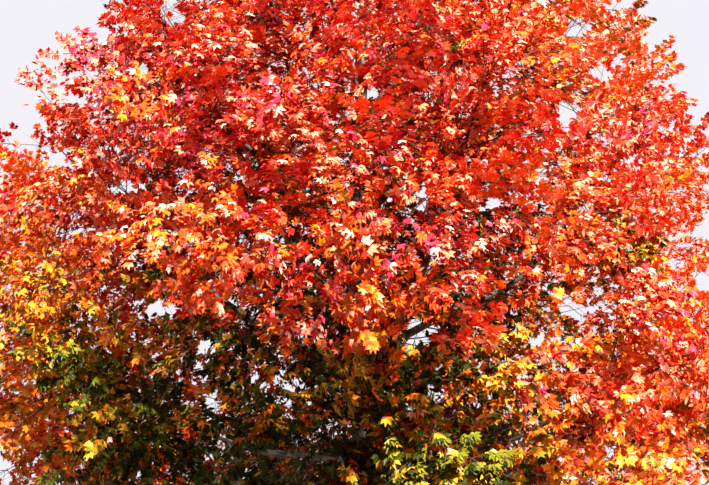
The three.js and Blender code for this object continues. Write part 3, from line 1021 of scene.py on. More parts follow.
# %% Light on the leaves
LIGHT_FROM_REACH = 0.35
LIGHT_OVER = 0.4
LIGHT_BY_HEIGHT = 1.1
LEAST_RADIUS = 0.5


def exposure_at(points):
    """0 in the shaded heart and 1 at the sunlit edge, by how far out or how high up a place is."""
    reach = np.hypot(points[:, 0], points[:, 1]) / np.maximum(dome_radius(points[:, 2]), LEAST_RADIUS)
    open_share = np.maximum(reach, height_share(points) * LIGHT_BY_HEIGHT)
    return np.clip((open_share - LIGHT_FROM_REACH) / LIGHT_OVER, 0, 1)


leaf_exposure = exposure_at(leaf_at)
print("leaves in full sun:", int(np.sum(leaf_exposure == 1)))

# %% Leaf directions
STALK_LEAN = 55
TIP_LEAN = 12
STALK_OUTWARD = 0.35
LEAF_TURN = 20
LEAF_TURN_SCATTER = 25
FACE_OUTWARD = 0.5
FACE_UPWARD = 0.62
FACE_SCATTER = 0.4
LINE_TILT = 0.5
TIP_OUTWARD = 0.4
TIP_DROOP = 0.5
SUN_LEAF_LENGTH = 0.089
SHADE_LEAF_LENGTH = 0.154
LOW_LEAF_GAIN = 0.038
LEAF_LENGTH_SHARES = (0.75, 1.2)
LEAF_FOLDS = (0.3, 2.2)


def place_leaves():
    """Each leaf's foot, its length, and its directions: along the blade, across it, and out of its face."""
    count = len(leaf_at)
    turn = leaf_turn + LEAF_TURN + chance.normal(0, LEAF_TURN_SCATTER, count)
    around = turned(side_of(leaf_way), leaf_way, turn[:, None])
    lean = np.radians(np.where(leaf_at_tip, TIP_LEAN, STALK_LEAN))[:, None]
    away = outward(leaf_at)
    stalk = unit(leaf_way * np.cos(lean) + around * np.sin(lean) + STALK_OUTWARD * away)
    length = SHADE_LEAF_LENGTH + (SUN_LEAF_LENGTH - SHADE_LEAF_LENGTH) * leaf_exposure
    length += LOW_LEAF_GAIN * (1 - height_share(leaf_at)) * leaf_exposure
    length = (length * chance.uniform(*LEAF_LENGTH_SHARES, count))[:, None]
    tilt = LINE_TILT * scatter(len(lines))[shoot_line[leaf_shoot]]
    face = unit(FACE_OUTWARD * away + FACE_UPWARD * UP + tilt + FACE_SCATTER * scatter(count))
    heading = unit(stalk + TIP_OUTWARD * away - TIP_DROOP * UP)
    heading = unit(heading - face * dot(face, heading))
    return leaf_at + stalk * length * STALK_SHARE, length, heading, np.cross(face, heading), face


leaf_foot, leaf_size, leaf_heading, leaf_across, leaf_face = place_leaves()
print("mean length of a leaf's blade, mm:", round(1000 * float(leaf_size.mean())))


def leaf_vertices(chosen):
    """Foot + length (u heading + v across + w face) for each point; the stalk starts on the shoot."""
    size = leaf_size[chosen][:, None]
    axes = np.stack([leaf_heading[chosen], leaf_across[chosen], leaf_face[chosen]], axis=1)
    outline = np.repeat(BLADE[None], len(chosen), axis=0)
    outline[:, :, 2] *= chance.uniform(*LEAF_FOLDS, len(chosen))[:, None]
    blade = leaf_foot[chosen][:, None] + size * np.einsum("nkc,ncd->nkd", outline, axes)
    stalk = leaf_at[chosen][:, None] + leaf_across[chosen][:, None] * size * STALK_SIDES[None, :, None]
    return np.concatenate([blade, stalk], axis=1)


# %% [markdown]
# ## Windows to the sky
#
# In some places the photograph looks right through the crown. Such a gap isn't one hole in the tree:
# gaps between near and far sprays happen to lie in one line of sight. Chance would put them elsewhere.
# So each window here is a narrow tunnel from the camera's place through the crown, with ragged edges,
# in which no shoot and no leaf has grown. A few twigs still cross it, as in the photograph, and from
# the sides it hardly shows. The windows are named, with their middles and half sizes in the
# photograph's pixels.

# %% Windows
SKY_WINDOWS = [
    ("top left", 171, 12, 11, 12),
    ("left shoulder", 144, 70, 5, 12),
    ("small middle", 369, 95, 7, 5),
    ("left gap", 71, 98, 11, 8),
    ("left bay", 22, 124, 14, 28),
    ("under the bay", 55, 158, 17, 12),
    ("left streak", 126, 189, 15, 8),
    ("top right", 615, 4, 10, 7),
    ("high right", 577, 30, 11, 9),
    ("right shoulder", 602, 72, 14, 9),
    ("right fork", 569, 113, 12, 12),
    ("right gap", 601, 136, 8, 6),
    ("middle streak", 423, 196, 6, 14),
    ("upper right", 488, 206, 16, 7),
    ("right flank", 703, 278, 8, 9),
    ("left of the middle", 163, 309, 17, 8),
    ("right of the middle", 567, 306, 21, 10),
    ("middle", 420, 334, 17, 12),
    ("low left", 212, 402, 7, 8),
    ("right skirt", 610, 453, 10, 8),
    ("left corner", 4, 468, 9, 18),
]
WINDOW_EDGE = 5.0
WINDOW_RAGGEDNESS = 3.0
LEAF_CLEARANCE = 0.07


def in_picture(points):
    """The pixel of each point: the picture's middle, and the focal length times offset over depth."""
    offset = points - np.array(CAMERA_AT)
    ahead = np.array([0, math.cos(CAMERA_PITCH), math.sin(CAMERA_PITCH)])
    up = np.array([0, -math.sin(CAMERA_PITCH), math.cos(CAMERA_PITCH)])
    scale = FOCAL_PIXELS / (offset @ ahead)
    return PHOTO_WIDTH / 2 + offset[:, 0] * scale, PHOTO_HEIGHT / 2 - offset @ up * scale


def in_window(points):
    """Inside any window, whose edge is an ellipse that noise widens and narrows."""
    x, y = in_picture(points)
    ragged = 1 + WINDOW_RAGGEDNESS * (noise(np.stack([x, y, 0 * x], axis=1) / WINDOW_EDGE) - 0.5)
    inside = np.zeros(len(points), dtype=bool)
    for _, middle_x, middle_y, half_width, half_height in SKY_WINDOWS:
        inside |= ((x - middle_x) / half_width) ** 2 + ((y - middle_y) / half_height) ** 2 < ragged
    return inside


shoot_kept = ~in_window(shoot_knots[:, 1])
leaf_middle = leaf_foot + leaf_heading * leaf_size / 2
leaf_kept = clear_of_limbs(leaf_foot, LEAF_CLEARANCE) & shoot_kept[leaf_shoot]
leaf_kept &= ~in_window(leaf_middle) & inside_crown(leaf_middle)
print("shoots kept:", int(shoot_kept.sum()), "leaves kept:", int(leaf_kept.sum()))

# %% [markdown]
# ## From arrays to meshes
#
# Blender reads a mesh as flat lists: every vertex's place, every face corner's vertex, and where each
# face starts. Handing those lists over whole takes a moment, where adding faces one by one would take
# minutes.

# %% Mesh helper
def mesh_piece(name, vertices, faces, smooth=False):
    """An object at the origin from (n, 3) places and a list of face arrays, each (m, 3) or (m, 4)."""
    vertices = np.asarray(vertices, dtype=np.float32).reshape(-1, 3)
    corners = np.concatenate([group.ravel() for group in faces]).astype(np.int32)
    sizes = np.concatenate([np.full(len(group), group.shape[1]) for group in faces])
    starts = np.concatenate([[0], np.cumsum(sizes)[:-1]]).astype(np.int32)
    mesh = bpy.data.meshes.new(name)
    mesh.vertices.add(len(vertices))
    mesh.vertices.foreach_set("co", vertices.ravel())
    mesh.loops.add(len(corners))
    mesh.loops.foreach_set("vertex_index", corners)
    mesh.polygons.add(len(sizes))
    mesh.polygons.foreach_set("loop_start", starts)
    mesh.update(calc_edges=True)
    mesh.polygons.foreach_set("use_smooth", np.full(len(sizes), smooth))
    mesh.validate()
    piece = bpy.data.objects.new(name, mesh)
    bpy.context.scene.collection.objects.link(piece)
    print(name, "triangles:", int(np.sum(sizes - 2)))
    return piece


# %% [markdown]
# ## Tubes for everything that is wood
#
# A twig is a circle carried along a path, closed at both ends. Blender can do that with a bevelled
# curve, but it would take an object or a spline for each of many thousands. Here all tubes with the
# same number of rings and sides are made in one go. The circle's own two directions are kept square to
# the path from one fixed sideways direction, so a tube never twists. The finest shoots run out to a
# point.

# %% Tubes
def ring_frames(paths):
    """Two directions square to each path at each knot: a fixed side direction, less its part along."""
    along = unit(np.gradient(paths, axis=1))
    side = side_of(unit(paths[:, -1] - paths[:, 0]))[:, None]
    side = unit(side - along * dot(along, side))
    return side, np.cross(along, side)


def rings_round(paths, radii, sides):
    """Ring points centre + radius (cos a side + sin a up) at every knot of every path."""
    side, up = ring_frames(paths)
    angle = np.arange(sides) * 2 * np.pi / sides
    circle = np.cos(angle)[:, None] * side[:, :, None] + np.sin(angle)[:, None] * up[:, :, None]
    return paths[:, :, None] + radii[:, :, None, None] * circle


def ring_corners(first, sides):
    """The index of each point of the rings that start at first, and of the point after it."""
    step = np.arange(sides)
    return first[..., None] + step, first[..., None] + (step + 1) % sides


def wall_faces(first, rings, sides):
    """Four-cornered faces from each ring to the next, for every tube."""
    here, after = ring_corners(first[:, None] + np.arange(rings - 1) * sides, sides)
    return np.stack([here, after, after + sides, here + sides], axis=-1).reshape(-1, 4)


def fan_faces(ring, middle, sides):
    """Triangles from the points of a ring to one middle point, for every tube."""
    here, after = ring_corners(ring, sides)
    return np.stack([here, after, np.broadcast_to(middle[:, None], here.shape)], axis=-1).reshape(-1, 3)


def tube_faces(count, rings, sides):
    """Walls, and a fan to a middle point at each end; the one at the foot is turned to face backward."""
    first = np.arange(count) * (rings * sides + 2)
    foot_middle = first + rings * sides
    foot_cap = fan_faces(first, foot_middle, sides)[:, ::-1]
    tip_cap = fan_faces(first + (rings - 1) * sides, foot_middle + 1, sides)
    return [wall_faces(first, rings, sides), np.concatenate([foot_cap, tip_cap])]


def tubes(paths, radii, sides):
    """Rings, and after them the middle points of both ends, for every path."""
    count, rings = paths.shape[:2]
    skin = rings_round(paths, radii, sides).reshape(count, -1, 3)
    return np.concatenate([skin, paths[:, :1], paths[:, -1:]], axis=1), tube_faces(count, rings, sides)


def spikes(paths, radii, sides):
    """Tubes that run out to a point: rings at all knots but the last, a fan to that, and a flat base."""
    count, rings = paths.shape[0], paths.shape[1] - 1
    skin = rings_round(paths, radii, sides)[:, :-1].reshape(count, -1, 3)
    first = np.arange(count) * (rings * sides + 1)
    point = fan_faces(first + (rings - 1) * sides, first + rings * sides, sides)
    base = first[:, None] + np.arange(sides)[::-1]
    return np.concatenate([skin, paths[:, -1:]], axis=1), [wall_faces(first, rings, sides), point, base]


print("faces of a tube of 5 rings and 4 sides:", sum(len(group) for group in tube_faces(1, 5, 4)))

# %% [markdown]
# ## Bark in relief
#
# A maple of this age has grey-brown bark that has begun to break into long upright plates. A bump
# texture would be flat at the limb's edge and in a mesh without its material, so the furrows are cut
# into the mesh. They lie where a smooth noise, drawn out along the limb, passes through its middle
# value: such level lines run and fork as furrows do. The depth follows the limb's radius, so the young
# wood higher up is nearly smooth.

# %% Relief
FURROW_SPACING = 0.075
FURROW_STRETCH = 5.0
FURROW_DEPTH_SHARE = 0.085
FURROW_WIDTH = 0.13
FURROW_STEEPNESS = 1.5
WANDER_SCALE = 2.3
WANDER_SHIFT = 7.0
WANDER_SHARE = 0.5
FLAKE_SCALE = (3.1, 3.1, 2.0)
FLAKE_SHIFT = 3.0
FLAKE_SHARE = 0.35


def bark_relief(turn, radius, run, seed):
    """Depth to take off the radius, and how far each place is down a furrow, from 0 to 1."""
    spread = radius / FURROW_SPACING
    height = run / FURROW_SPACING / FURROW_STRETCH + seed
    place = np.stack([np.cos(turn) * spread, np.sin(turn) * spread, height], axis=-1)
    wander = noise(place * WANDER_SCALE + WANDER_SHIFT) - 0.5
    level = np.abs(noise(place + wander[..., None] * WANDER_SHARE) - 0.5)
    furrow = np.clip(1 - level / FURROW_WIDTH, 0, 1) ** FURROW_STEEPNESS
    flakes = noise(place * np.array(FLAKE_SCALE) + FLAKE_SHIFT)
    return radius * FURROW_DEPTH_SHARE * (furrow + FLAKE_SHARE * flakes), furrow


def bark_piece(name, skin, furrow):
    """One mesh from a grid of rings by columns, with its end middles, that keeps the furrows' depth."""
    rings, columns = skin.shape[:2]
    ends = np.stack([skin[0].mean(axis=0), skin[-1].mean(axis=0)])
    vertices = np.concatenate([skin.reshape(-1, 3), ends])
    piece = mesh_piece(name, vertices, tube_faces(1, rings, columns), smooth=True)
    values = np.concatenate([furrow.ravel(), [0, 0]])
    attribute = piece.data.attributes.new("furrow", "FLOAT", "POINT")
    attribute.data.foreach_set("value", values.astype(np.float32))
    return piece


all_round = np.linspace(0, 2 * np.pi, 200)
depth_at_a_metre, _ = bark_relief(all_round, TRUNK_RADIUS, 1 + 0 * all_round, 0)
print("deepest furrow a metre up the trunk, mm:", round(1000 * float(depth_at_a_metre.max()), 1))

# %% Trunk mesh
TRUNK_COLUMNS = 144
TRUNK_ROWS = 250
TRUNK_ROW_POWER = 1.4


def trunk_skin():
    """Rings of radius taper + flare - relief about the swaying middle line, closer near the foot."""
    t = np.linspace(0, 1, TRUNK_ROWS)[:, None]
    angle = np.linspace(0, 2 * np.pi, TRUNK_COLUMNS, endpoint=False)[None]
    height = LEADER_HEIGHT * t**TRUNK_ROW_POWER + 0 * angle
    radius = trunk_radius(height) + root_flare(height, angle)
    depth, furrow = bark_relief(angle + 0 * height, radius, height, 0)
    radius = radius - depth
    turn = np.stack([np.cos(angle + 0 * t), np.sin(angle + 0 * t), 0 * height], axis=-1)
    return trunk_centre(height) + radius[..., None] * turn, furrow


trunk = bark_piece("trunk_bark", *trunk_skin())

# %% Bough meshes
BOUGH_COLUMNS = 20
BOUGH_ROWS = 56
COLLAR_SWELL = 0.55
COLLAR_FROM = 0.21
COLLAR_LENGTH = 0.126
FIRST_BOUGH_SEED = 10
BOUGH_SEED_STEP = 3


def bough_skin(bough, seed):
    """Rings of radius taper + collar - relief down the bough's curve."""
    t = np.linspace(0, 1, BOUGH_ROWS)
    path = bough["curve"].at(t)
    run = t * bough["curve"].length()
    side, up = (part[0][:, None] for part in ring_frames(path[None]))
    angle = np.linspace(0, 2 * np.pi, BOUGH_COLUMNS, endpoint=False)[None]
    collar = COLLAR_SWELL * np.exp(-np.maximum(0, run - COLLAR_FROM) / COLLAR_LENGTH)
    radius = (bough_radius(bough, t) * (1 + collar))[:, None] + 0 * angle
    depth, furrow = bark_relief(angle + 0 * t[:, None], radius, run[:, None] + 0 * angle, seed)
    turn = np.cos(angle)[..., None] * side + np.sin(angle)[..., None] * up
    return path[:, None] + (radius - depth)[..., None] * turn, furrow


bough_pieces = []
for k, bough in enumerate(boughs):
    skin, furrow = bough_skin(bough, FIRST_BOUGH_SEED + BOUGH_SEED_STEP * k)
    bough_pieces.append(bark_piece(f"bough_bark_{bough['name']}", skin, furrow))

# %% [markdown]
# ## Stems, twigs and shoots
#
# A real twig is never quite straight, and it thins toward its tip. Each straight line of the plan gets
# a slight arch to a random side and a tapering radius. The finer the wood, the fewer sides its tube
# has: eight on a stem and three on a shoot, which is hardly a pixel wide. All twigs are joined into one
# mesh and all shoots into another, since thousands of objects would slow everything down.

# %% Stems, twigs and shoots
STEM_KNOTS = 16
STEM_RADII = (0.036, 0.014)
STEM_SIDES = 8
TWIG_RADII = (0.016, 0.007)
LINE_RADII = (0.0085, 0.0035)
INNER_KIND = dict(knots=5, bow=0.02, radii=TWIG_RADII, sides=5)
TWIG_KIND = dict(knots=6, bow=0.012, radii=TWIG_RADII, sides=6)
SPRAY_KIND = dict(knots=5, bow=0.012, radii=LINE_RADII, sides=4)
FILL_KIND = dict(knots=5, bow=0.015, radii=LINE_RADII, sides=4)
SHOOT_RADII = (0.0045, 0.0025, 0.0)
SHOOT_SIDES = 3


def bowed(starts, ends, knots, bow):
    """A straight line with a slight arch: bow sin(pi t) off to a random side."""
    t = np.linspace(0, 1, knots)[None, :, None]
    off = scatter(len(starts))[:, None]
    span = (ends - starts)[:, None]
    arched = bow * np.linalg.norm(span, axis=2, keepdims=True) * np.sin(np.pi * t) * off
    return starts[:, None] + span * t + arched


def tapered(paths, radii, sides):
    """Tubes whose radius falls evenly from the first to the last."""
    falling = np.repeat(np.linspace(*radii, paths.shape[1])[None], len(paths), axis=0)
    return tubes(paths, falling, sides)


def twig_tubes(starts, ends, kind):
    return tapered(bowed(starts, ends, kind["knots"], kind["bow"]), kind["radii"], kind["sides"])


def woody_piece(name, groups, smooth):
    """Joins groups of tubes, whose faces count on from the vertices before them, into one mesh."""
    vertices, faces, used = [], [], 0
    for group_vertices, group_faces in groups:
        vertices.append(group_vertices.reshape(-1, 3))
        faces += [face + used for face in group_faces]
        used += len(vertices[-1])
    return mesh_piece(name, np.concatenate(vertices), faces, smooth)


def twig_groups():
    """Tubes for the stems, inner twigs, twigs, middles of sprays and filling twigs, in that order."""
    stems = np.array([growth["stem"].at(np.linspace(0, 1, STEM_KNOTS)) for growth in grown.values()])
    twig_ends = np.array([(twig["start"], twig["end"]) for twig in twigs])
    spray_ends = np.array([(spray["root"], spray["corners"][2]) for spray in sprays])
    yield tapered(stems, STEM_RADII, STEM_SIDES)
    yield twig_tubes(inner_start, inner_end, INNER_KIND)
    yield twig_tubes(twig_ends[:, 0], twig_ends[:, 1], TWIG_KIND)
    yield twig_tubes(spray_ends[:, 0], spray_ends[:, 1], SPRAY_KIND)
    yield twig_tubes(fill_start, fill_end, FILL_KIND)


twig_piece = woody_piece("twigs", list(twig_groups()), smooth=True)
shoot_radii = np.repeat(np.array([SHOOT_RADII]), shoot_kept.sum(), axis=0)
shoot_spikes = spikes(shoot_knots[shoot_kept], shoot_radii, SHOOT_SIDES)
shoot_piece = woody_piece("shoots", [shoot_spikes], smooth=False)

# %% [markdown]
# ## Autumn colour
#
# Autumn colour comes from the outside in and from the top down. The best-lit sprays have turned
# crimson, those below are orange and gold, and the shaded heart of the crown still holds olive green.
# One leaf material with a random colour would turn the crown to confetti, since real leaves of a spray
# turn together. So each spray has one ripeness, worked out from its height, how far out it is and
# chance, plus the turn of the larger patches that the photograph shows. Each leaf strays a little from
# its spray's ripeness, and takes the nearest of the tints, which run from olive to russet. Some shaded
# leaves take the dark olive, or russet where riper, instead: painted shade, though the olive is also the
# real green that shade leaves keep. Peach and salmon are painted highlights: pale leaves, mostly in the
# sun, that stand in for the glare on their gloss.

# %% Ripeness
RIPE_AT_FOOT = 3.2
RIPE_AT_TOP = 6.3
RIPE_POWER = 0.7
SHADE_DELAY = 2.0

PATCHES = [
    ("crimson shoulder", (-5.0, -2.1, 11.2), 3.2, 1.9),
    ("rose edge", (5.9, -1.7, 9.5), 2.2, 1.2),
    ("orange front top", (3.9, -3.2, 10.9), 3.0, -2.5),
    ("amber flank", (-6.2, -3.1, 6.2), 2.0, -0.9),
    ("scarlet middle", (0.6, -5.6, 7.0), 2.8, 1.4),
    ("orange skirt", (4.6, -4.6, 4.0), 2.2, 0.8),
    # The green skirt and the green foot are partly the real green of the lower front and partly painted
    # shade: they turn it to the dark olive.
    ("green skirt", (-3.0, -4.2, 3.1), 2.8, -3.3),
    ("red flank", (-2.9, -5.0, 6.5), 1.6, 1.8),
    ("green foot", (1.1, -4.6, 3.4), 1.2, -2.2),
    ("green corner", (3.2, -4.8, 3.3), 1.1, -2.8),
    ("yellow corner", (-4.6, -4.8, 3.4), 1.3, -1.5),
]


def ripeness_at(points):
    """Rises with height, falls towards the heart of the crown, and is moved by each patch's smooth hump."""
    ripeness = RIPE_AT_FOOT + (RIPE_AT_TOP - RIPE_AT_FOOT) * height_share(points) ** RIPE_POWER
    ripeness -= SHADE_DELAY * (1 - exposure_at(points))
    for _, centre, radius, shift in PATCHES:
        ripeness += shift * hump(points, centre, radius)
    return ripeness


crown_places = np.array([[0, -5.5, 7.0], [0, 0, 16.0]])
print("ripeness at the front and at the top:", ripeness_at(crown_places).round(1))

# %% Tints
# Olive and russet are the ends of the ripeness scale and also serve as painted shade; peach and salmon are
# painted highlights.
TINTS = [
    ("olive", (0.035, 0.04, 0.003), "leaf_gold"),
    ("leaf_green", (0.15, 0.14, 0.008), "leaf_gold"),
    ("gold", (0.52, 0.26, 0.015), "leaf_gold"),
    ("amber", (0.82, 0.2, 0.008), "leaf_orange"),
    ("orange", (0.86, 0.13, 0.01), "leaf_orange"),
    ("vermilion", (0.82, 0.075, 0.013), "leaf_scarlet"),
    ("scarlet", (0.7, 0.034, 0.015), "leaf_scarlet"),
    ("crimson", (0.56, 0.03, 0.065), "leaf_crimson"),
    ("russet", (0.15, 0.012, 0.003), "leaf_crimson"),
    ("peach_highlight", (0.92, 0.44, 0.3), "leaf_orange"),
    ("salmon_highlight", (0.88, 0.22, 0.11), "leaf_orange"),
]
TINT_NAMES = [name for name, _, _ in TINTS]
OLIVE = TINT_NAMES.index("olive")
RUSSET = TINT_NAMES.index("russet")
PEACH = TINT_NAMES.index("peach_highlight")
SALMON = TINT_NAMES.index("salmon_highlight")
LINE_SCATTER = 1.0
LEAF_SCATTER = 0.8
# Painted shade: the share of shaded leaves made dark, and the ripeness above which they go russet rather
# than olive.
SHADE_DARK_SHARE = 0.85
DARK_RED_FROM = 3.2
# Painted highlights: peach and salmon leaves from this ripeness up, in these shares of the sunlit leaves,
# most round a hump high on the right front.
PALE_FROM = 3
PEACH_SHARE = 0.09
SALMON_SHARE = 0.24
LEAST_LIGHT = 0.01
PALE_GAIN = 1.6
PALE_CENTRE = (4.0, -3.0, 11.2)
PALE_RADIUS = 3.4


def deal_tints():
    """The nearest tint to each leaf's ripeness, dark ones as painted shade, and a few pale ones as painted
    highlights.
    """
    middles = np.array([(start + end) / 2 for start, end, _, _ in lines])
    line_ripeness = ripeness_at(middles) + chance.normal(0, LINE_SCATTER, len(lines))
    ripeness = line_ripeness[shoot_line[leaf_shoot]] + chance.normal(0, LEAF_SCATTER, len(leaf_at))
    tint = np.clip(np.round(ripeness), OLIVE, RUSSET).astype(int)
    # Painted shade: by chance, shaded leaves take the dark olive or russet.
    painted_shade = chance.random(len(leaf_at)) < SHADE_DARK_SHARE * (1 - leaf_exposure)
    tint[painted_shade] = np.where(ripeness > DARK_RED_FROM, RUSSET, OLIVE)[painted_shade]
    # Painted highlights: the pale tints go mostly to sunlit leaves, and most of all round the hump.
    highlight_gain = 1 + PALE_GAIN * hump(leaf_at, PALE_CENTRE, PALE_RADIUS)
    pale = chance.random(len(leaf_at)) / np.maximum(leaf_exposure * highlight_gain, LEAST_LIGHT)
    tint[(ripeness > PALE_FROM) & (pale < PEACH_SHARE)] = PEACH
    tint[(ripeness > PALE_FROM) & (pale > PEACH_SHARE) & (pale < PEACH_SHARE + SALMON_SHARE)] = SALMON
    return tint


leaf_tint = deal_tints()
for k, name in enumerate(TINT_NAMES):
    print(name, "leaves:", int(np.sum(leaf_kept & (leaf_tint == k))))

# %% [markdown]
# ## Leaf finish
#
# A leaf is thin and waxy: a clear base colour under a faint, soft gloss that pales it where it faces
# the light. Real leaves also let light through, but that needs a shader that other tools don't read, so
# a dim warm light from all round stands for it. Each tint is one plain material, and the leaves of each
# are joined into pieces of a size that every tool can open.

# %% Leaf material and pieces
LEAF_ROUGHNESS = 0.38
SOFT_GLOSS = 0.13
LEAVES_PER_PIECE = 28000


def plain_material(name, colour, roughness):
    """One colour and one roughness, with the soft gloss of leaves and young bark."""
    material = bpy.data.materials.new(name)
    material.use_nodes = True
    shader = material.node_tree.nodes["Principled BSDF"]
    shader.inputs["Base Color"].default_value = (*colour, 1)
    shader.inputs["Roughness"].default_value = roughness
    shader.inputs["Specular IOR Level"].default_value = SOFT_GLOSS
    return material


leaf_pieces = []
for k, (tint, colour, slot) in enumerate(TINTS):
    chosen = np.flatnonzero(leaf_kept & (leaf_tint == k))
    material = plain_material(f"leaf_{tint}", colour, LEAF_ROUGHNESS)
    for part in range(math.ceil(len(chosen) / LEAVES_PER_PIECE)):
        batch = chosen[part * LEAVES_PER_PIECE : (part + 1) * LEAVES_PER_PIECE]
        offsets = np.arange(len(batch))[:, None, None] * LEAF_POINTS
        leaf_faces = (LEAF_FACES[None] + offsets).reshape(-1, 3)
        piece = mesh_piece(f"leaves_{tint}_{part + 1}", leaf_vertices(batch), [leaf_faces])
        piece.data.materials.append(material)
        leaf_pieces.append(piece)

# %% [markdown]
# ## Bark finish
#
# Young maple bark is a warm grey, with paler and browner patches as wide as a hand. A photograph of bark
# would need unwrapping and would repeat, so the finish is noise on the piece's own coordinates, drawn
# out along the height. The furrow depth that the mesh keeps as an attribute darkens the colour down in
# the furrows: painted shade, on top of the shade that the cut furrows cast. The shader is written as
# sums: a small class wraps a socket, so that its operators add Math nodes.

# %% Shader sums
class Socket:
    """A socket of a node tree. A sum or product of sockets and numbers adds Math nodes."""

    def __init__(self, tree, link):
        self.tree = tree
        self.link = link

    def node(self, kind, settings=None, inputs=None, output=0):
        """A new node of a kind: its settings first, then the values or links of its sockets."""
        made = self.tree.nodes.new(kind)
        for name, value in (settings or {}).items():
            if name == "stops":
                set_stops(made.color_ramp, value)
            else:
                setattr(made, name, value)
        for name, value in (inputs or {}).items():
            if isinstance(value, Socket):
                self.tree.links.new(value.link, made.inputs[name])
            else:
                made.inputs[name].default_value = value
        return Socket(self.tree, made.outputs[output])

    def math(self, operation, a, b):
        return self.node("ShaderNodeMath", {"operation": operation}, {0: a, 1: b})

    def __add__(self, other):
        return self.math("ADD", self, other)

    def __mul__(self, other):
        return self.math("MULTIPLY", self, other)

    def __sub__(self, other):
        return self.math("SUBTRACT", self, other)

    def __rsub__(self, other):
        return self.math("SUBTRACT", other, self)


def set_stops(ramp, stops):
    while len(ramp.elements) < len(stops):
        ramp.elements.new(1)
    for element, (position, colour) in zip(ramp.elements, stops):
        element.position = position
        element.color = (*colour, 1)


# %% Bark material
BARK_STOPS = [(0.12, (0.025, 0.019, 0.015)), (0.5, (0.11, 0.085, 0.066)), (0.85, (0.26, 0.22, 0.18))]
BARK_DRAWN_OUT = (1.0, 1.0, 0.16)
PATCH_SCALE = 9.0
PATCH_DETAIL = 3
PATCH_SHARE = 0.25
GRAIN_SCALE = 60.0
GRAIN_DETAIL = 6
GRAIN_SHARE = 0.85
BARK_LIFT = 0.06
FURROW_PAINTED_SHADE = 0.6
BARK_ROUGHNESS = (0.95, 0.25)
GRAIN_BUMP = dict(Strength=0.7, Distance=0.008)
TWIG_COLOUR = (0.08, 0.045, 0.03)
TWIG_ROUGHNESS = 0.7
SHOOT_COLOUR = (0.12, 0.04, 0.02)
SHOOT_ROUGHNESS = 0.6


def bark_material(name):
    """Patches and grain, less the furrow's depth as painted shade, give a value on the ramp from dark to
    pale.
    """
    material = bpy.data.materials.new(name)
    material.use_nodes = True
    tree = material.node_tree
    shader = tree.nodes["Principled BSDF"]
    place = Socket(tree, tree.nodes.new("ShaderNodeTexCoord").outputs["Object"])
    furrow = place.node("ShaderNodeAttribute", {"attribute_name": "furrow"}, output="Fac")
    multiply = {"operation": "MULTIPLY"}
    drawn_out = place.node("ShaderNodeVectorMath", multiply, {0: place, 1: BARK_DRAWN_OUT})
    wide = {"Vector": drawn_out, "Scale": PATCH_SCALE, "Detail": PATCH_DETAIL}
    fine = {"Vector": drawn_out, "Scale": GRAIN_SCALE, "Detail": GRAIN_DETAIL}
    patches = place.node("ShaderNodeTexNoise", inputs=wide)
    grain = place.node("ShaderNodeTexNoise", inputs=fine)
    # Painted shade: the furrow term darkens the bark down in its furrows.
    value = patches * PATCH_SHARE + grain * GRAIN_SHARE + BARK_LIFT - furrow * FURROW_PAINTED_SHADE
    colour = place.node("ShaderNodeValToRGB", {"stops": BARK_STOPS}, {"Fac": value})
    roughness = BARK_ROUGHNESS[0] - grain * BARK_ROUGHNESS[1]
    bump = place.node("ShaderNodeBump", inputs={**GRAIN_BUMP, "Height": grain})
    tree.links.new(colour.link, shader.inputs["Base Color"])
    tree.links.new(roughness.link, shader.inputs["Roughness"])
    tree.links.new(bump.link, shader.inputs["Normal"])
    print(name, "nodes:", len(tree.nodes))
    return material


bark_finish = bark_material("maple_bark")
for piece in [trunk] + bough_pieces:
    piece.data.materials.append(bark_finish)
twig_piece.data.materials.append(plain_material("twig_bark", TWIG_COLOUR, TWIG_ROUGHNESS))
shoot_finish = plain_material("shoot_bark", SHOOT_COLOUR, SHOOT_ROUGHNESS)
shoot_piece.data.materials.append(shoot_finish)

# %% [markdown]
# ## Joining the frame
#
# A tree has no joints, so every piece rides on the one body. Each bough could be a body of its own, to
# sway in the wind, but a photograph doesn't say how far it sways. The nodes of the model that the pieces
# of wood stand for are hidden: the trunk and the boughs one for one, and all the masses of foliage, for
# which the twigs stand.

# %% Riding and replacing
wood_pieces = [trunk, twig_piece, shoot_piece] + bough_pieces
for piece in wood_pieces + leaf_pieces:
    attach(piece, "root")
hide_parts("trunk")
for bough, piece in zip(boughs, bough_pieces):
    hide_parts(f"bough_{bough['name']}")
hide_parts(*[f"foliage_{name}" for name in masses])
print("pieces of wood:", len(wood_pieces), "pieces of leaves:", len(leaf_pieces))

# %% [markdown]
# ## Floor and light
#
# The floor is a pale disc that reaches a little past the crown, for the trunk to stand on. The
# photograph has sun on the crown from the right front, so the key is a distant light from there, well
# up, with crisp shadows: lit sprays stand out against dark gaps. An area light would fall off over so
# large a thing. A soft distant light from behind, on the left, rims the far sprays. The dim warm
# surround stands for the light that comes through leaves. The camera alone sees a pale sky, which keeps
# that sky from greying the shade.

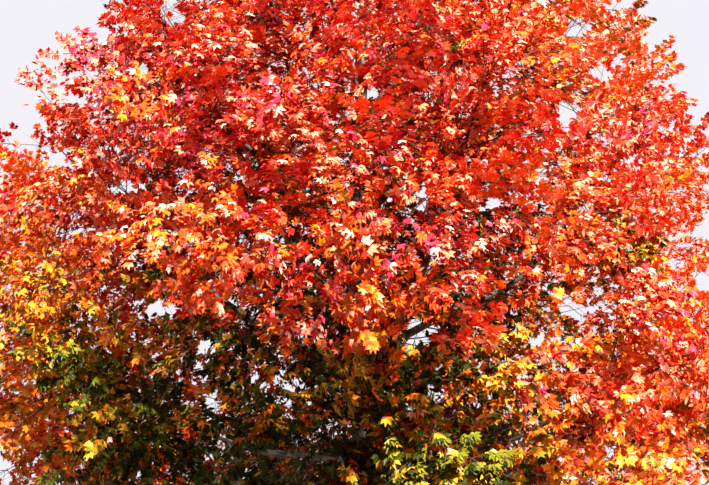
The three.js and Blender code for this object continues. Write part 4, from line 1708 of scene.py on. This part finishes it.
# %% Stage
FLOOR_RADIUS = 9.5
FLOOR_SIDES = 96
FLOOR_COLOUR = (0.3, 0.27, 0.23)
FLOOR_ROUGHNESS = 0.9
SKY_COLOUR = (0.93, 0.91, 0.97)
SKY_STRENGTH = 0.97
FILL_COLOUR = (1.0, 0.7, 0.45)
FILL_STRENGTH = 0.1
KEY_STRENGTH = 18.3
KEY_SPREAD = math.radians(4)
KEY_FROM = (0.36, -0.82, 0.72)
RIM_STRENGTH = 3.0
RIM_SPREAD = math.radians(40)
RIM_FROM = (-0.5, 0.8, 0.45)

angle = np.arange(FLOOR_SIDES) * 2 * np.pi / FLOOR_SIDES
floor_edge = np.stack([np.cos(angle), np.sin(angle), 0 * angle], axis=1) * FLOOR_RADIUS
floor_faces = fan_faces(np.array([0]), np.array([FLOOR_SIDES]), FLOOR_SIDES)
floor = mesh_piece("floor", np.concatenate([floor_edge, [[0, 0, 0]]]), [floor_faces])
floor.data.materials.append(plain_material("floor_paint", FLOOR_COLOUR, FLOOR_ROUGHNESS))
floor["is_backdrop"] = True

world = bpy.data.worlds.new("studio")
world.use_nodes = True
seen = Socket(world.node_tree, world.node_tree.nodes.new("ShaderNodeLightPath").outputs["Is Camera Ray"])
fill = seen.node("ShaderNodeBackground", inputs={"Color": (*FILL_COLOUR, 1), "Strength": FILL_STRENGTH})
sky = seen.node("ShaderNodeBackground", inputs={"Color": (*SKY_COLOUR, 1), "Strength": SKY_STRENGTH})
both = seen.node("ShaderNodeMixShader", inputs={0: seen, 1: fill, 2: sky})
world.node_tree.links.new(both.link, world.node_tree.nodes["World Output"].inputs["Surface"])
bpy.context.scene.world = world


def distant_light(name, strength, spread, source):
    light = bpy.data.objects.new(name, bpy.data.lights.new(name, "SUN"))
    light.data.energy = strength
    light.data.angle = spread
    light.rotation_euler = Vector(source).to_track_quat("Z", "Y").to_euler()
    bpy.context.scene.collection.objects.link(light)


distant_light("key_light", KEY_STRENGTH, KEY_SPREAD, KEY_FROM)
distant_light("rim_light", RIM_STRENGTH, RIM_SPREAD, RIM_FROM)
bpy.context.scene.view_settings.view_transform = "Standard"

# %% [markdown]
# ## Size and finish
#
# A twig or a leaf that strays would make the fine tree larger than the model that stands for it, and no
# picture from one side would tell. So the boxes of both are measured together, as the last thing before
# the scene ends, and the finished tree's box is printed.

# %% Finish
boxes = {"cad": CAD_BOX, "visual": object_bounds()}
{name: [[float(v) for v in corner] for corner in box] for name, box in boxes.items()}
print("box of the finished tree:", [[round(float(v), 3) for v in corner] for corner in boxes["visual"]])
